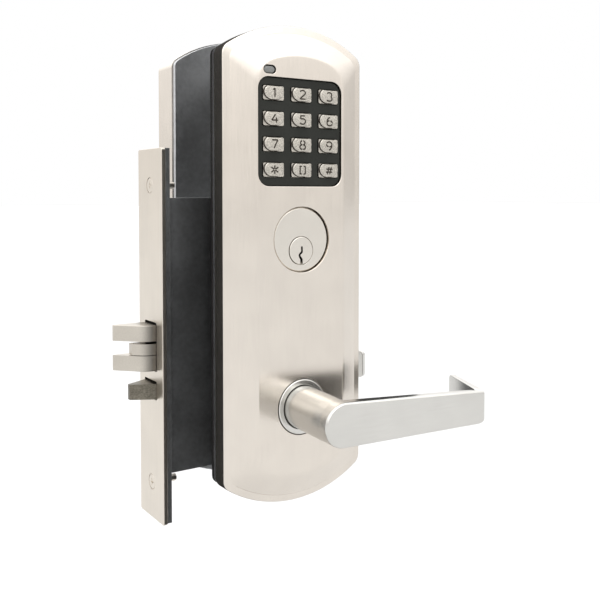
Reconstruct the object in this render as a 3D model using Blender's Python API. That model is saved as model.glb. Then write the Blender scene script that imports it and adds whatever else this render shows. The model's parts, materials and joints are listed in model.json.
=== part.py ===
"""Keypad mortise lock: outside keypad trim, mortise case with latch, and inside battery trim.

Metres. X runs along the door towards its hinges, Y from the outside of the door to the inside, and
Z up. The origin is where the levers' axis crosses the door's outside face.
"""

import math
from collections import namedtuple

import bmesh
import bpy
from mathutils import Matrix, Vector

# Clearances shared by everything that fits together.
GAP = 0.0003            # between two faces that meet
SLIDE_GAP = 0.0005      # round a bolt in its opening
OPENING_ROOM = 0.0012   # above a bolt in its opening
CUT = 0.001             # how far a cutter runs past the material

# Door and lever axis.
DOOR_THICKNESS = 0.04445
BACKSET = 0.06985       # door edge to lever axis

# Outline shared by both trims.
TRIM_HALF_WIDTH = 0.04487
TRIM_TOP = 0.2088
TRIM_BOTTOM = -0.0542
TRIM_END_RADIUS = 0.0745
TRIM_CORNER_RADIUS = 0.005
TRIM_CORNER_LEAST = 0.0005
TRIM_WALL = 0.0025

# Mounting plates and gasket, as depths from the door.
GASKET_THICKNESS = 0.0022
GASKET_BAND = 0.0055
PLATE_THICKNESS = 0.003
PLATE_INSET = 0.0006
SPINDLE_HOLE = 0.014
POST_DIAMETER = 0.009
POST_REACH = 0.008      # how far an outside post reaches into the door
THROUGH_BOLT_Z = (0.128, -0.043)
BOLT_DIAMETER = 0.0044
BOLT_HEAD_DIAMETER = 0.0085
BOLT_HEAD_HEIGHT = 0.003

# Small screws that hold the trims to their plates.
SCREW_DIAMETER = 0.003
SCREW_HEAD_DIAMETER = 0.0065
SCREW_HEAD_HEIGHT = 0.0016
SCREW_BOSS_DIAMETER = 0.008
SCREW_LENGTH = 0.010
OUTSIDE_SCREW_Z = (0.1877, -0.030)
INSIDE_SCREW_Z = -0.030

# Keypad.
PANEL_X = -0.0005
PANEL_WIDTH = 0.0534
PANEL_HEIGHT = 0.0575
PANEL_Z = 0.1503
PANEL_CORNER = 0.0063
PANEL_RECESS = 0.0012   # panel front below the trim's face
PANEL_LIP = 0.0006      # flange behind the trim's face
PANEL_LIP_THICKNESS = 0.002
KEY_WIDTH = 0.0129
KEY_HEIGHT = 0.0075
KEY_CORNER = 0.0009
KEY_PITCH_X = 0.01778
KEY_PITCH_Z = 0.01359
KEYS_Z = 0.15045        # middle of the block of keys
KEY_STAND = 0.0018      # key front above the panel's front
KEY_CROWN = 0.0008      # height of the key's raised front
KEY_CROWN_INSET = 0.0008
KEY_CLEARANCE = 0.00035
KEY_FLANGE = 0.001
KEY_FLANGE_THICKNESS = 0.0009
KEY_TRAVEL = 0.0012
KEY_NAMES = (("1", "2", "3"), ("4", "5", "6"), ("7", "8", "9"), ("star", "0", "hash"))
MEMBRANE_THICKNESS = 0.0011
MEMBRANE_BORDER = 0.001
BOARD_THICKNESS = 0.0016
BOARD_HALF_WIDTH = 0.028
BOARD_BOTTOM = 0.120
BOARD_TOP = 0.1945
LENS_X = -0.0204
LENS_Z = 0.1831
LENS_LENGTH = 0.0074
LENS_HEIGHT = 0.0043
LENS_RECESS = 0.0003
LENS_WING = 0.0015      # flange at each end of the lens

# Key cylinder.
CYLINDER_Z = 0.0922
CYLINDER_HEAD = 0.0355
CYLINDER_HEAD_THICKNESS = 0.004
CYLINDER_RECESS = 0.001     # head front below the trim's face
CYLINDER_CHAMFER = 0.0006
CYLINDER_BARREL = 0.0292
CYLINDER_CAM_ROOM = 0.005725    # between the barrel's end and the case's back wall
CYLINDER_BORE_CLEARANCE = 0.0007
CYLINDER_SEAT_WALL = 0.0025
CYLINDER_SEAT_THICKNESS = 0.004
PLUG_DROP = 0.0061          # plug axis below the cylinder's axis
PLUG_DIAMETER = 0.0124
PLUG_SHOULDER = 0.0152
PLUG_SHOULDER_THICKNESS = 0.0022
PLUG_STAND = 0.0004
KEYWAY_WIDTH = 0.0017
KEYWAY_TOP = 0.0034
KEYWAY_BOTTOM = -0.0052
KEYWAY_DEPTH = 0.024
CAM_THICKNESS = 0.003
CAM_RADIUS = 0.009
CAM_LOBE_REACH = 0.0155
CAM_LOBE_WIDTH = 0.006
SET_SCREW_DIAMETER = 0.003

# Levers and their spindles.
NECK_DIAMETER = 0.0236
GRIP_STANDOFF = 0.04039     # grip's front beyond the trim's face
GRIP_THICKNESS = 0.0068     # at the neck; the bar gets thinner towards its end
CORNER_THICKNESS = 0.0052
RETURN_THICKNESS = 0.0038
GRIP_RADIUS = 0.0118
GRIP_DROP = 0.0012          # half round's middle below the spindle's axis
GRIP_LENGTH = 0.1005
GRIP_END_TOP = 0.0037
GRIP_END_BOTTOM = -0.0154
GRIP_CORNER = 0.003
RETURN_LENGTH = 0.0455
RETURN_ANGLE = math.radians(20.85)
NECK_OVERLAP = 0.0014       # how far the neck runs into the grip
ROSE_CLEARANCE = 0.00035
ROSE_WALL = 0.00305
ROSE_DIAMETER = NECK_DIAMETER + 2 * (ROSE_CLEARANCE + ROSE_WALL)
ROSE_STAND = 0.0006
ROSE_LIP = 0.0028
ROSE_LIP_THICKNESS = 0.002
LEVER_SPRING_SPACE = 0.006
LEVER_SPRING_WIRE = 0.0016
LEVER_SPRING_TURNS = 2.2
SPINDLE_WIDTH = 0.0079
SPINDLE_SOCKET_DEPTH = 0.020

# Mortise case.
CASE_DEPTH = 0.022
CASE_WALL = 0.0015
CASE_BACK_X = 0.034
CASE_TOP = 0.115
CASE_BOTTOM = -0.035
FACEPLATE_THICKNESS = 0.0024
FACEPLATE_WIDTH = 0.03175
FACEPLATE_HEIGHT = 0.2032
FACEPLATE_TOP = 0.1417
FRONT_PLATE_THICKNESS = 0.0032
FRONT_PLATE_WIDTH = 0.027
FACEPLATE_SCREW_INSET = 0.0199
FACEPLATE_SCREW_HEAD = 0.008
FACEPLATE_SCREW_SHANK = 0.004
FACEPLATE_SCREW_LENGTH = 0.014

# Latch bolt, its tongue and its spring. Sides are measured from the middle of the door.
LATCH_THROW = 0.01905
LATCH_NEAR_SIDE = -0.007225
LATCH_FAR_SIDE = 0.007575
LATCH_BOTTOM = 0.0212
LATCH_TOP = 0.0462
LATCH_REAR_X = -0.055
LATCH_SHOULDER = 0.0012     # straight length outside the faceplate
LATCH_BEVEL_RADIUS = 0.010
LATCH_BEVEL_ANGLE = math.radians(46.0)
SLOT_BOTTOM = 0.0297
SLOT_TOP = 0.0375
SLOT_REAR_X = -0.0585
TONGUE_TIP_X = -0.0812
TONGUE_CLEARANCE = 0.0014   # above the tongue, which rests on the fork's lower arm
TONGUE_FAR_SIDE = 0.003175
TONGUE_BOSS_RADIUS = 0.0031
LATCH_PIN_X = -0.0635
LATCH_PIN_SIDE = 0.003275
LATCH_PIN_DIAMETER = 0.0026
LATCH_ROD_DIAMETER = 0.006
LATCH_ROD_Z = 0.035
LATCH_LUG_X = -0.020
LUG_THICKNESS = 0.002
LUG_BORDER = 0.005
LATCH_SPRING_DIAMETER = 0.0090
LATCH_SPRING_WIRE = 0.0011
LATCH_SPRING_TURNS = 9
TAIL_CLEARANCE = 0.001      # between the hub's arm and the tail plate at rest
TAIL_THICKNESS = 0.003
TAIL_BOTTOM = 0.014

# Guard bolt under the latch, with its sides measured from the middle of the door too.
GUARD_TIP_X = -0.0825
GUARD_TIP_WIDTH = 0.0024
GUARD_SHOULDER = 0.0004     # straight length outside the faceplate
GUARD_REAR_X = -0.058
GUARD_NEAR_SIDE = -0.006925
GUARD_FAR_SIDE = 0.008275
GUARD_BOTTOM = 0.0056
GUARD_TOP = 0.0140
GUARD_ROD_DIAMETER = 0.0035
GUARD_ROD_X = -0.028
GUARD_LUG_X = -0.036
GUARD_SPRING_DIAMETER = 0.0058
GUARD_SPRING_WIRE = 0.0007
GUARD_SPRING_TURNS = 6

# Hubs and clutch motor.
HUB_RADIUS = 0.011
HUB_BOSS_DIAMETER = 0.0154
HUB_ARM_REACH = 0.027
HUB_ARM_WIDTH = 0.006
HUB_SPLIT = 0.0004
MOTOR_DIAMETER = 0.009
MOTOR_LENGTH = 0.0145

# Battery trim.
BATTERY_DIAMETER = 0.0142
BATTERY_LENGTH = 0.0495
BATTERY_NUB_DIAMETER = 0.0055
BATTERY_NUB_HEIGHT = 0.001
BATTERY_COUNT = 4
BATTERY_Z = 0.140
BATTERY_END_SPACE = 0.0018
TRAY_WALL = 0.0015
COVER_THICKNESS = 0.002
COVER_BORDER = 0.001
COVER_CORNER = 0.003
INSIDE_BOARD_Z = (0.137, 0.183)
INSIDE_BOARD_HALF_WIDTH = 0.033

# Wire between the two circuit boards.
WIRE_DIAMETER = 0.005
WIRE_HOLE_DIAMETER = 0.009
WIRE_OUTSIDE_Z = 0.152
WIRE_INSIDE_Z = 0.148

# A trim's door face, the way out from the door, and its shell, as depths from the door and insets.
Trim = namedtuple("Trim", "name door_y sign base wall_depth rim_inset rim_depth face_inset face_depth")
OUTSIDE = Trim("outside", 0.0, -1, GASKET_THICKNESS + GAP, 0.0153, 0.00409, 0.01594, 0.0166, 0.02261)
INSIDE = Trim("inside", DOOR_THICKNESS, 1, 0.0, 0.0221, 0.0009, 0.0226, 0.0065, 0.0286)

Finish = namedtuple("Finish", "colour roughness metallic")
SATIN_STEEL = Finish((0.72, 0.69, 0.66), 0.28, 1.0)
DULL_STEEL = Finish((0.42, 0.41, 0.38), 0.42, 1.0)
ZINC = Finish((0.50, 0.51, 0.52), 0.45, 1.0)
SPRING_STEEL = Finish((0.35, 0.36, 0.38), 0.35, 1.0)
BRASS = Finish((0.66, 0.50, 0.24), 0.35, 1.0)
CHARCOAL = Finish((0.045, 0.048, 0.045), 0.45, 0.0)
BLACK_RUBBER = Finish((0.02, 0.02, 0.02), 0.8, 0.0)
GREY_PLASTIC = Finish((0.25, 0.26, 0.27), 0.5, 0.0)
GREEN_BOARD = Finish((0.03, 0.16, 0.07), 0.45, 0.0)
SMOKED_LENS = Finish((0.30, 0.31, 0.30), 0.15, 0.0)
BATTERY_SLEEVE = Finish((0.08, 0.10, 0.22), 0.35, 0.0)


# Places across the door that the case, its bolts and the cylinder share.
DOOR_MIDDLE = DOOR_THICKNESS / 2
CASE_NEAR_Y = DOOR_MIDDLE - CASE_DEPTH / 2
CASE_FAR_Y = DOOR_MIDDLE + CASE_DEPTH / 2
COVER_BACK_Y = CASE_NEAR_Y + CASE_WALL
LATCH_NEAR_Y = DOOR_MIDDLE + LATCH_NEAR_SIDE
LATCH_FAR_Y = DOOR_MIDDLE + LATCH_FAR_SIDE
LATCH_PIN_Y = DOOR_MIDDLE + LATCH_PIN_SIDE
TONGUE_FAR_Y = DOOR_MIDDLE + TONGUE_FAR_SIDE
GUARD_NEAR_Y = DOOR_MIDDLE + GUARD_NEAR_SIDE
GUARD_FAR_Y = DOOR_MIDDLE + GUARD_FAR_SIDE
CYLINDER_REACH = CASE_FAR_Y - CASE_WALL - CYLINDER_CAM_ROOM


# ---------------------------------------------------------------- mesh helpers


def out(trim, depth):
    """Y of a depth measured out from the door on one side."""
    return trim.door_y + trim.sign * depth


def ring(outline, axis, place):
    """3-D points of a 2-D outline that lies across an axis at a place along it."""
    if axis == "X":
        return [(place, a, b) for a, b in outline]
    if axis == "Y":
        return [(a, place, b) for a, b in outline]
    return [(a, b, place) for a, b in outline]


def add_stack(mesh, rings, closed=False):
    """Skin a row of equal rings; its ends are capped, or joined to each other when closed."""
    loops = [[mesh.verts.new(point) for point in points] for points in rings]
    pairs = list(zip(loops, loops[1:]))
    if closed:
        pairs.append((loops[-1], loops[0]))
    count = len(loops[0])
    for low, high in pairs:
        for i in range(count):
            j = (i + 1) % count
            mesh.faces.new((low[i], low[j], high[j], high[i]))
    if not closed:
        mesh.faces.new(loops[0])
        mesh.faces.new(loops[-1])


def make_object(name, mesh):
    """Turn a bmesh into an object with its faces pointing out and round parts shaded smooth."""
    bmesh.ops.recalc_face_normals(mesh, faces=mesh.faces)
    data = bpy.data.meshes.new(name)
    mesh.to_mesh(data)
    mesh.free()
    data.shade_smooth()
    data.set_sharp_from_angle(angle=math.radians(35))
    obj = bpy.data.objects.new(name, data)
    bpy.context.scene.collection.objects.link(obj)
    return obj


def stack(name, rings, closed=False):
    mesh = bmesh.new()
    add_stack(mesh, rings, closed)
    return make_object(name, mesh)


def prism(name, outline, axis, low, high):
    return stack(name, [ring(outline, axis, low), ring(outline, axis, high)])


def prisms(name, outlines, axis, low, high):
    """Several separate prisms in one object, for a cutter."""
    mesh = bmesh.new()
    for outline in outlines:
        add_stack(mesh, [ring(outline, axis, low), ring(outline, axis, high)])
    return make_object(name, mesh)


def arc(centre, radius, start, end, steps):
    """Points of a circular arc, both ends included; angles in degrees."""
    points = []
    for i in range(steps + 1):
        angle = math.radians(start + (end - start) * i / steps)
        points.append((centre[0] + radius * math.cos(angle), centre[1] + radius * math.sin(angle)))
    return points


def circle(centre, radius, segments=24):
    return arc(centre, radius, 0, 360 - 360 / segments, segments - 1)


def rectangle(low, high):
    return [(low[0], low[1]), (high[0], low[1]), (high[0], high[1]), (low[0], high[1])]


def rounded(centre, width, height, corner, steps=3):
    """Rectangle about a centre with rounded corners."""
    x = width / 2 - corner
    z = height / 2 - corner
    points = []
    for start, sx, sz in ((0, 1, 1), (90, -1, 1), (180, -1, -1), (270, 1, -1)):
        points += arc((centre[0] + sx * x, centre[1] + sz * z), corner, start, start + 90, steps)
    return points


def obround(centre, length, height, steps=6):
    """Slot shape with round ends, long in X."""
    reach = (length - height) / 2
    right = arc((centre[0] + reach, centre[1]), height / 2, -90, 90, steps)
    left = arc((centre[0] - reach, centre[1]), height / 2, 90, 270, steps)
    return right + left


def lathe(name, profile, axis, centre, segments=24, closed=False):
    """Turn a profile of (radius, place along the axis) about an axis through a centre."""
    rings = [ring(circle(centre, radius, segments), axis, place) for radius, place in profile]
    return stack(name, rings, closed)


def coil(name, axis, centre, diameter, wire, start, end, turns, sides=6, steps=9):
    """Round wire wound about an axis from start to end, its outer diameter given."""
    mean = (diameter - wire) / 2
    count = round(turns * steps)
    rings = []
    for i in range(count + 1):
        angle = math.tau * turns * i / count
        place = start + (end - start) * i / count
        points = []
        for k in range(sides):
            turn = math.tau * k / sides
            reach = mean + wire / 2 * math.cos(turn)
            a = centre[0] + reach * math.cos(angle)
            b = centre[1] + reach * math.sin(angle)
            points += ring([(a, b)], axis, place + wire / 2 * math.sin(turn))
        rings.append(points)
    return stack(name, rings)


def boolean(target, tool, operation):
    """Join or cut a target by a tool that stays in the file as a wire guide."""
    tool.hide_render = True
    tool.display_type = "WIRE"
    modifier = target.modifiers.new(tool.name, "BOOLEAN")
    modifier.operation = operation
    modifier.solver = "EXACT"
    modifier.object = tool


def join(target, tool):
    boolean(target, tool, "UNION")


def cut(target, tool):
    boolean(target, tool, "DIFFERENCE")


def drill(target, name, axis, centre, diameter, low, high, segments=20):
    """Round hole along an axis between two places."""
    cut(target, prism(name, circle(centre, diameter / 2, segments), axis, low, high))


def dress(obj, finish, origin=(0, 0, 0)):
    """Give a node its material, and its own origin where it moves by itself."""
    material = bpy.data.materials.new(obj.name)
    material.use_nodes = True
    shader = material.node_tree.nodes["Principled BSDF"]
    shader.inputs["Base Color"].default_value = (*finish.colour, 1.0)
    shader.inputs["Roughness"].default_value = finish.roughness
    shader.inputs["Metallic"].default_value = finish.metallic
    obj.data.materials.append(material)
    obj.data.transform(Matrix.Translation(-Vector(origin)))
    obj.location = origin


def pivot_at(name, place):
    """Empty on a joint's axis; what hangs on it is modelled in the lock's own frame."""
    empty = bpy.data.objects.new(name, None)
    empty.location = place
    empty.empty_display_size = 0.01
    bpy.context.scene.collection.objects.link(empty)
    return empty


def hang(obj, pivot):
    """Parent an object, modelled in the lock's frame, to a pivot without moving it."""
    obj.parent = pivot
    obj.matrix_parent_inverse = Matrix.Translation(-pivot.location)


# ---------------------------------------------------------------- trims


def trim_outline(inset):
    """Trim outline moved in by an inset: an arc at each end, small corners and straight sides."""
    half = TRIM_HALF_WIDTH - inset
    radius = TRIM_END_RADIUS - inset
    corner = max(TRIM_CORNER_RADIUS - inset, TRIM_CORNER_LEAST)
    rise = math.sqrt((radius - corner) ** 2 - (half - corner) ** 2)
    turn = math.degrees(math.atan2(rise, half - corner))
    end_z = TRIM_TOP - TRIM_END_RADIUS
    middle = (TRIM_TOP + TRIM_BOTTOM) / 2
    top = arc((half - corner, end_z + rise), corner, 0, turn, 3)
    top += arc((0, end_z), radius, turn, 180 - turn, 18)[1:-1]
    top += arc((corner - half, end_z + rise), corner, 180 - turn, 180, 3)
    return top + [(-x, 2 * middle - z) for x, z in top]


def trim_ring(trim, inset, depth):
    return ring(trim_outline(inset), "Y", out(trim, depth))


def trim_screw_boss(trim, shell, z):
    """Boss behind the trim's face for a screw that comes through the mounting plate."""
    base = trim.base + PLATE_THICKNESS + GAP
    top = trim.face_depth - TRIM_WALL / 2
    boss = circle((0, z), SCREW_BOSS_DIAMETER / 2, 16)
    join(shell, prism(f"guide_{shell.name}_boss_{z}", boss, "Y", out(trim, base), out(trim, top)))


def escutcheon(trim):
    """Cast shell with a raised face whose bevel runs right round it."""
    bevel = math.atan2(trim.face_depth - trim.rim_depth, trim.face_inset - trim.rim_inset)
    shift = TRIM_WALL * math.tan(bevel / 2)
    base = trim.base + PLATE_THICKNESS + GAP
    under_rim = trim.rim_depth - TRIM_WALL
    edge = trim.rim_depth - trim.wall_depth
    rings = [
        trim_ring(trim, trim.face_inset, trim.face_depth),
        trim_ring(trim, trim.rim_inset, trim.rim_depth),
        trim_ring(trim, edge / 2, trim.rim_depth - edge / 4),
        trim_ring(trim, 0.0, trim.wall_depth),
        trim_ring(trim, 0.0, base),
        trim_ring(trim, TRIM_WALL, base),
        trim_ring(trim, TRIM_WALL, under_rim - edge),
        trim_ring(trim, max(trim.rim_inset + shift, TRIM_WALL + edge), under_rim),
        trim_ring(trim, trim.face_inset + shift, trim.face_depth - TRIM_WALL),
    ]
    return stack(f"{trim.name}_escutcheon", rings)


def cut_rose_hole(trim, shell):
    hole = ROSE_DIAMETER + 2 * GAP
    past = out(trim, trim.face_depth + CUT)
    drill(shell, f"cutter_{trim.name}_rose", "Y", (0, 0), hole, out(trim, trim.base), past, 32)


def outside_escutcheon():
    trim = OUTSIDE
    shell = escutcheon(trim)
    head_back = trim.face_depth - CYLINDER_RECESS - CYLINDER_HEAD_THICKNESS
    seat = head_back - GAP
    bore = CYLINDER_HEAD / 2 + CYLINDER_BORE_CLEARANCE
    ledge = seat - CYLINDER_SEAT_THICKNESS
    wall = trim.face_depth - TRIM_WALL / 2
    centre = (0, CYLINDER_Z)
    ring_out = circle(centre, bore + CYLINDER_SEAT_WALL, 32)
    join(shell, prism("guide_cylinder_seat", ring_out, "Y", out(trim, ledge), out(trim, wall)))
    for z in OUTSIDE_SCREW_Z:
        trim_screw_boss(trim, shell, z)
    face = out(trim, trim.face_depth + CUT)
    drill(shell, "cutter_cylinder_head", "Y", centre, 2 * bore, out(trim, seat), face, 40)
    barrel = CYLINDER_BARREL + 2 * GAP
    drill(shell, "cutter_cylinder_barrel", "Y", centre, barrel, out(trim, ledge - CUT), face, 32)
    cut_rose_hole(trim, shell)
    under = out(trim, trim.face_depth - TRIM_WALL - CUT)
    window = rounded((PANEL_X, PANEL_Z), PANEL_WIDTH + 2 * GAP, PANEL_HEIGHT + 2 * GAP, PANEL_CORNER + GAP)
    cut(shell, prism("cutter_keypad_window", window, "Y", under, face))
    slot = obround((LENS_X, LENS_Z), LENS_LENGTH + 2 * GAP, LENS_HEIGHT + 2 * GAP)
    cut(shell, prism("cutter_lens_slot", slot, "Y", under, face))
    thread = SCREW_DIAMETER + 2 * GAP
    end = out(trim, trim.base + SCREW_LENGTH + CUT)
    for z in OUTSIDE_SCREW_Z:
        drill(shell, f"cutter_outside_boss_{z}", "Y", (0, z), thread, out(trim, 0), end, 12)
    dress(shell, SATIN_STEEL)


def mounting_plate(trim):
    """Flat plate behind a trim, with the holes and posts of everything that crosses it."""
    low = out(trim, trim.base)
    high = out(trim, trim.base + PLATE_THICKNESS)
    plate = prism(f"{trim.name}_mounting_plate", trim_outline(PLATE_INSET), "Y", low, high)
    past = (out(trim, trim.base - 2 * POST_REACH), out(trim, trim.base + PLATE_THICKNESS + CUT))
    drill(plate, f"cutter_{trim.name}_spindle", "Y", (0, 0), SPINDLE_HOLE, *past)
    wire_z = WIRE_OUTSIDE_Z if trim is OUTSIDE else WIRE_INSIDE_Z
    drill(plate, f"cutter_{trim.name}_wire", "Y", (0, wire_z), WIRE_HOLE_DIAMETER, *past)
    return plate, past


def outside_mounting_plate():
    trim = OUTSIDE
    plate, past = mounting_plate(trim)
    low = out(trim, trim.base)
    thread = BOLT_DIAMETER + 2 * GAP
    inner = out(trim, trim.base + PLATE_THICKNESS / 2)
    for z in THROUGH_BOLT_Z:
        post = circle((0, z), POST_DIAMETER / 2, 16)
        join(plate, prism(f"guide_post_{z}", post, "Y", inner, POST_REACH))
    for z in THROUGH_BOLT_Z:
        drill(plate, f"cutter_post_{z}", "Y", (0, z), thread, past[0], past[1], 12)
    drill(plate, "cutter_plate_cylinder", "Y", (0, CYLINDER_Z), CYLINDER_BARREL + 4 * GAP, *past, 32)
    sink = trim.base + SCREW_HEAD_HEIGHT + GAP
    for z in OUTSIDE_SCREW_Z:
        drill(plate, f"cutter_plate_screw_{z}", "Y", (0, z), SCREW_DIAMETER + 2 * GAP, *past, 12)
        head = SCREW_HEAD_DIAMETER + 2 * GAP
        drill(plate, f"cutter_plate_head_{z}", "Y", (0, z), head, low + CUT, out(trim, sink), 16)
    dress(plate, ZINC)


def outside_gasket():
    """Rubber ring between the outside plate and the door."""
    trim = OUTSIDE
    outer = trim_outline(PLATE_INSET)
    inner = trim_outline(PLATE_INSET + GASKET_BAND)
    door = out(trim, 0)
    face = out(trim, GASKET_THICKNESS)
    rings = [ring(outer, "Y", door), ring(outer, "Y", face)]
    rings += [ring(inner, "Y", face), ring(inner, "Y", door)]
    dress(stack("outside_gasket", rings, closed=True), BLACK_RUBBER)


def outside_trim_screws():
    """Screws that pull the outside shell onto its plate, sunk in the plate's back."""
    start = OUTSIDE.base
    shank = start + SCREW_HEAD_HEIGHT
    for label, z in zip(("top", "bottom"), OUTSIDE_SCREW_Z):
        profile = [
            (SCREW_HEAD_DIAMETER / 2, out(OUTSIDE, start)),
            (SCREW_HEAD_DIAMETER / 2, out(OUTSIDE, shank)),
            (SCREW_DIAMETER / 2, out(OUTSIDE, shank)),
            (SCREW_DIAMETER / 2, out(OUTSIDE, start + SCREW_LENGTH)),
        ]
        dress(lathe(f"escutcheon_screw_{label}", profile, "Y", (0, z), 12), ZINC)


# ---------------------------------------------------------------- keypad


def key_centres():
    """Name and centre of each key, row by row from the top."""
    for row, names in enumerate(KEY_NAMES):
        for column, name in enumerate(names):
            x = (column - 1) * KEY_PITCH_X
            z = KEYS_Z + (1.5 - row) * KEY_PITCH_Z
            yield name, (x, z)


PANEL_FRONT = OUTSIDE.face_depth - PANEL_RECESS
PANEL_BACK = OUTSIDE.face_depth - TRIM_WALL - GAP - PANEL_LIP_THICKNESS
KEY_FLANGE_FRONT = PANEL_BACK - GAP
KEY_BACK = KEY_FLANGE_FRONT - KEY_FLANGE_THICKNESS
MEMBRANE_FRONT = KEY_BACK - KEY_TRAVEL - GAP
MEMBRANE_BACK = MEMBRANE_FRONT - MEMBRANE_THICKNESS
BOARD_FRONT = MEMBRANE_BACK - GAP
BOARD_BACK = BOARD_FRONT - BOARD_THICKNESS


def keypad_panel():
    """Dark panel in the trim's window, with a lip behind it and an opening for each key."""
    trim = OUTSIDE
    body = rounded((PANEL_X, PANEL_Z), PANEL_WIDTH, PANEL_HEIGHT, PANEL_CORNER)
    lip_size = (PANEL_WIDTH + 2 * PANEL_LIP, PANEL_HEIGHT + 2 * PANEL_LIP)
    lip = rounded((PANEL_X, PANEL_Z), *lip_size, PANEL_CORNER + PANEL_LIP)
    lip_front = PANEL_BACK + PANEL_LIP_THICKNESS
    rings = [
        ring(lip, "Y", out(trim, PANEL_BACK)),
        ring(lip, "Y", out(trim, lip_front)),
        ring(body, "Y", out(trim, lip_front)),
        ring(body, "Y", out(trim, PANEL_FRONT)),
    ]
    panel = stack("keypad_panel", rings)
    width = KEY_WIDTH + 2 * KEY_CLEARANCE
    height = KEY_HEIGHT + 2 * KEY_CLEARANCE
    holes = [rounded(centre, width, height, KEY_CORNER + KEY_CLEARANCE, 1) for _, centre in key_centres()]
    back = out(trim, PANEL_BACK - CUT)
    cut(panel, prisms("cutter_key_openings", holes, "Y", back, out(trim, PANEL_FRONT + CUT)))
    dress(panel, CHARCOAL)


def keys():
    """Twelve metal keys, each with a crowned front and a flange that keeps it behind the panel."""
    trim = OUTSIDE
    front = PANEL_FRONT + KEY_STAND
    for name, centre in key_centres():
        flange = rounded(centre, KEY_WIDTH + 2 * KEY_FLANGE, KEY_HEIGHT + 2 * KEY_FLANGE, KEY_CORNER, 1)
        body = rounded(centre, KEY_WIDTH, KEY_HEIGHT, KEY_CORNER, 1)
        crown_size = (KEY_WIDTH - 2 * KEY_CROWN_INSET, KEY_HEIGHT - 2 * KEY_CROWN_INSET)
        crown = rounded(centre, *crown_size, KEY_CORNER, 1)
        rings = [
            ring(flange, "Y", out(trim, KEY_BACK)),
            ring(flange, "Y", out(trim, KEY_FLANGE_FRONT)),
            ring(body, "Y", out(trim, KEY_FLANGE_FRONT)),
            ring(body, "Y", out(trim, front - KEY_CROWN)),
            ring(crown, "Y", out(trim, front)),
        ]
        key = stack(f"key_{name}", rings)
        dress(key, SATIN_STEEL, origin=(centre[0], out(trim, front), centre[1]))


def keypad_membrane():
    """Rubber tray under the keys, with a rim that meets the panel's back."""
    trim = OUTSIDE
    width = PANEL_WIDTH + 2 * PANEL_LIP
    height = PANEL_HEIGHT + 2 * PANEL_LIP
    outer = rounded((PANEL_X, PANEL_Z), width, height, PANEL_CORNER)
    inner_size = (width - 2 * MEMBRANE_BORDER, height - 2 * MEMBRANE_BORDER)
    inner = rounded((PANEL_X, PANEL_Z), *inner_size, PANEL_CORNER - MEMBRANE_BORDER)
    rim = PANEL_BACK - GAP
    rings = [
        ring(outer, "Y", out(trim, MEMBRANE_BACK)),
        ring(outer, "Y", out(trim, rim)),
        ring(inner, "Y", out(trim, rim)),
        ring(inner, "Y", out(trim, MEMBRANE_FRONT)),
    ]
    dress(stack("keypad_membrane", rings), BLACK_RUBBER)


def keypad_circuit_board():
    trim = OUTSIDE
    half = BOARD_HALF_WIDTH
    outline = rectangle((-half, BOARD_BOTTOM), (half, BOARD_TOP))
    board = prism("keypad_circuit_board", outline, "Y", out(trim, BOARD_BACK), out(trim, BOARD_FRONT))
    low = out(trim, BOARD_BACK - CUT)
    high = out(trim, BOARD_FRONT + CUT)
    hole = SCREW_BOSS_DIAMETER + 2 * GAP
    drill(board, "cutter_board_boss", "Y", (0, OUTSIDE_SCREW_Z[0]), hole, low, high, 16)
    dress(board, GREEN_BOARD)


def led_lens():
    """Light pipe from the board to the slot above the keys."""
    trim = OUTSIDE
    centre = (LENS_X, LENS_Z)
    stem = obround(centre, LENS_LENGTH, LENS_HEIGHT)
    wing = obround(centre, LENS_LENGTH + 2 * LENS_WING, LENS_HEIGHT)
    wing_front = trim.face_depth - TRIM_WALL - GAP
    rings = [
        ring(stem, "Y", out(trim, BOARD_FRONT + GAP)),
        ring(stem, "Y", out(trim, wing_front - PANEL_LIP_THICKNESS)),
        ring(wing, "Y", out(trim, wing_front - PANEL_LIP_THICKNESS)),
        ring(wing, "Y", out(trim, wing_front)),
        ring(stem, "Y", out(trim, wing_front)),
        ring(stem, "Y", out(trim, trim.face_depth - LENS_RECESS)),
    ]
    dress(stack("led_lens", rings), SMOKED_LENS)


# ---------------------------------------------------------------- key cylinder


PLUG_Z = CYLINDER_Z - PLUG_DROP
CYLINDER_FRONT = OUTSIDE.face_depth - CYLINDER_RECESS
PLUG_AXIS = (0, PLUG_Z)


def cylinder_body():
    """Mortise cylinder: wide head, long barrel and an off-centre bore for the plug."""
    trim = OUTSIDE
    head = CYLINDER_HEAD / 2
    head_back = CYLINDER_FRONT - CYLINDER_HEAD_THICKNESS
    profile = [
        (head - CYLINDER_CHAMFER, out(trim, CYLINDER_FRONT)),
        (head, out(trim, CYLINDER_FRONT - CYLINDER_CHAMFER)),
        (head, out(trim, head_back)),
        (CYLINDER_BARREL / 2, out(trim, head_back)),
        (CYLINDER_BARREL / 2, CYLINDER_REACH),
    ]
    body = lathe("cylinder_body", profile, "Y", (0, CYLINDER_Z), 40)
    front = out(trim, CYLINDER_FRONT + CUT)
    drill(body, "cutter_plug_bore", "Y", PLUG_AXIS, PLUG_DIAMETER + 2 * GAP, front, CYLINDER_REACH + CUT)
    sink = CYLINDER_FRONT + PLUG_STAND - PLUG_SHOULDER_THICKNESS - GAP
    drill(body, "cutter_plug_shoulder", "Y", PLUG_AXIS, PLUG_SHOULDER + 2 * GAP, front, out(trim, sink), 32)
    dress(body, SATIN_STEEL)


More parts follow.
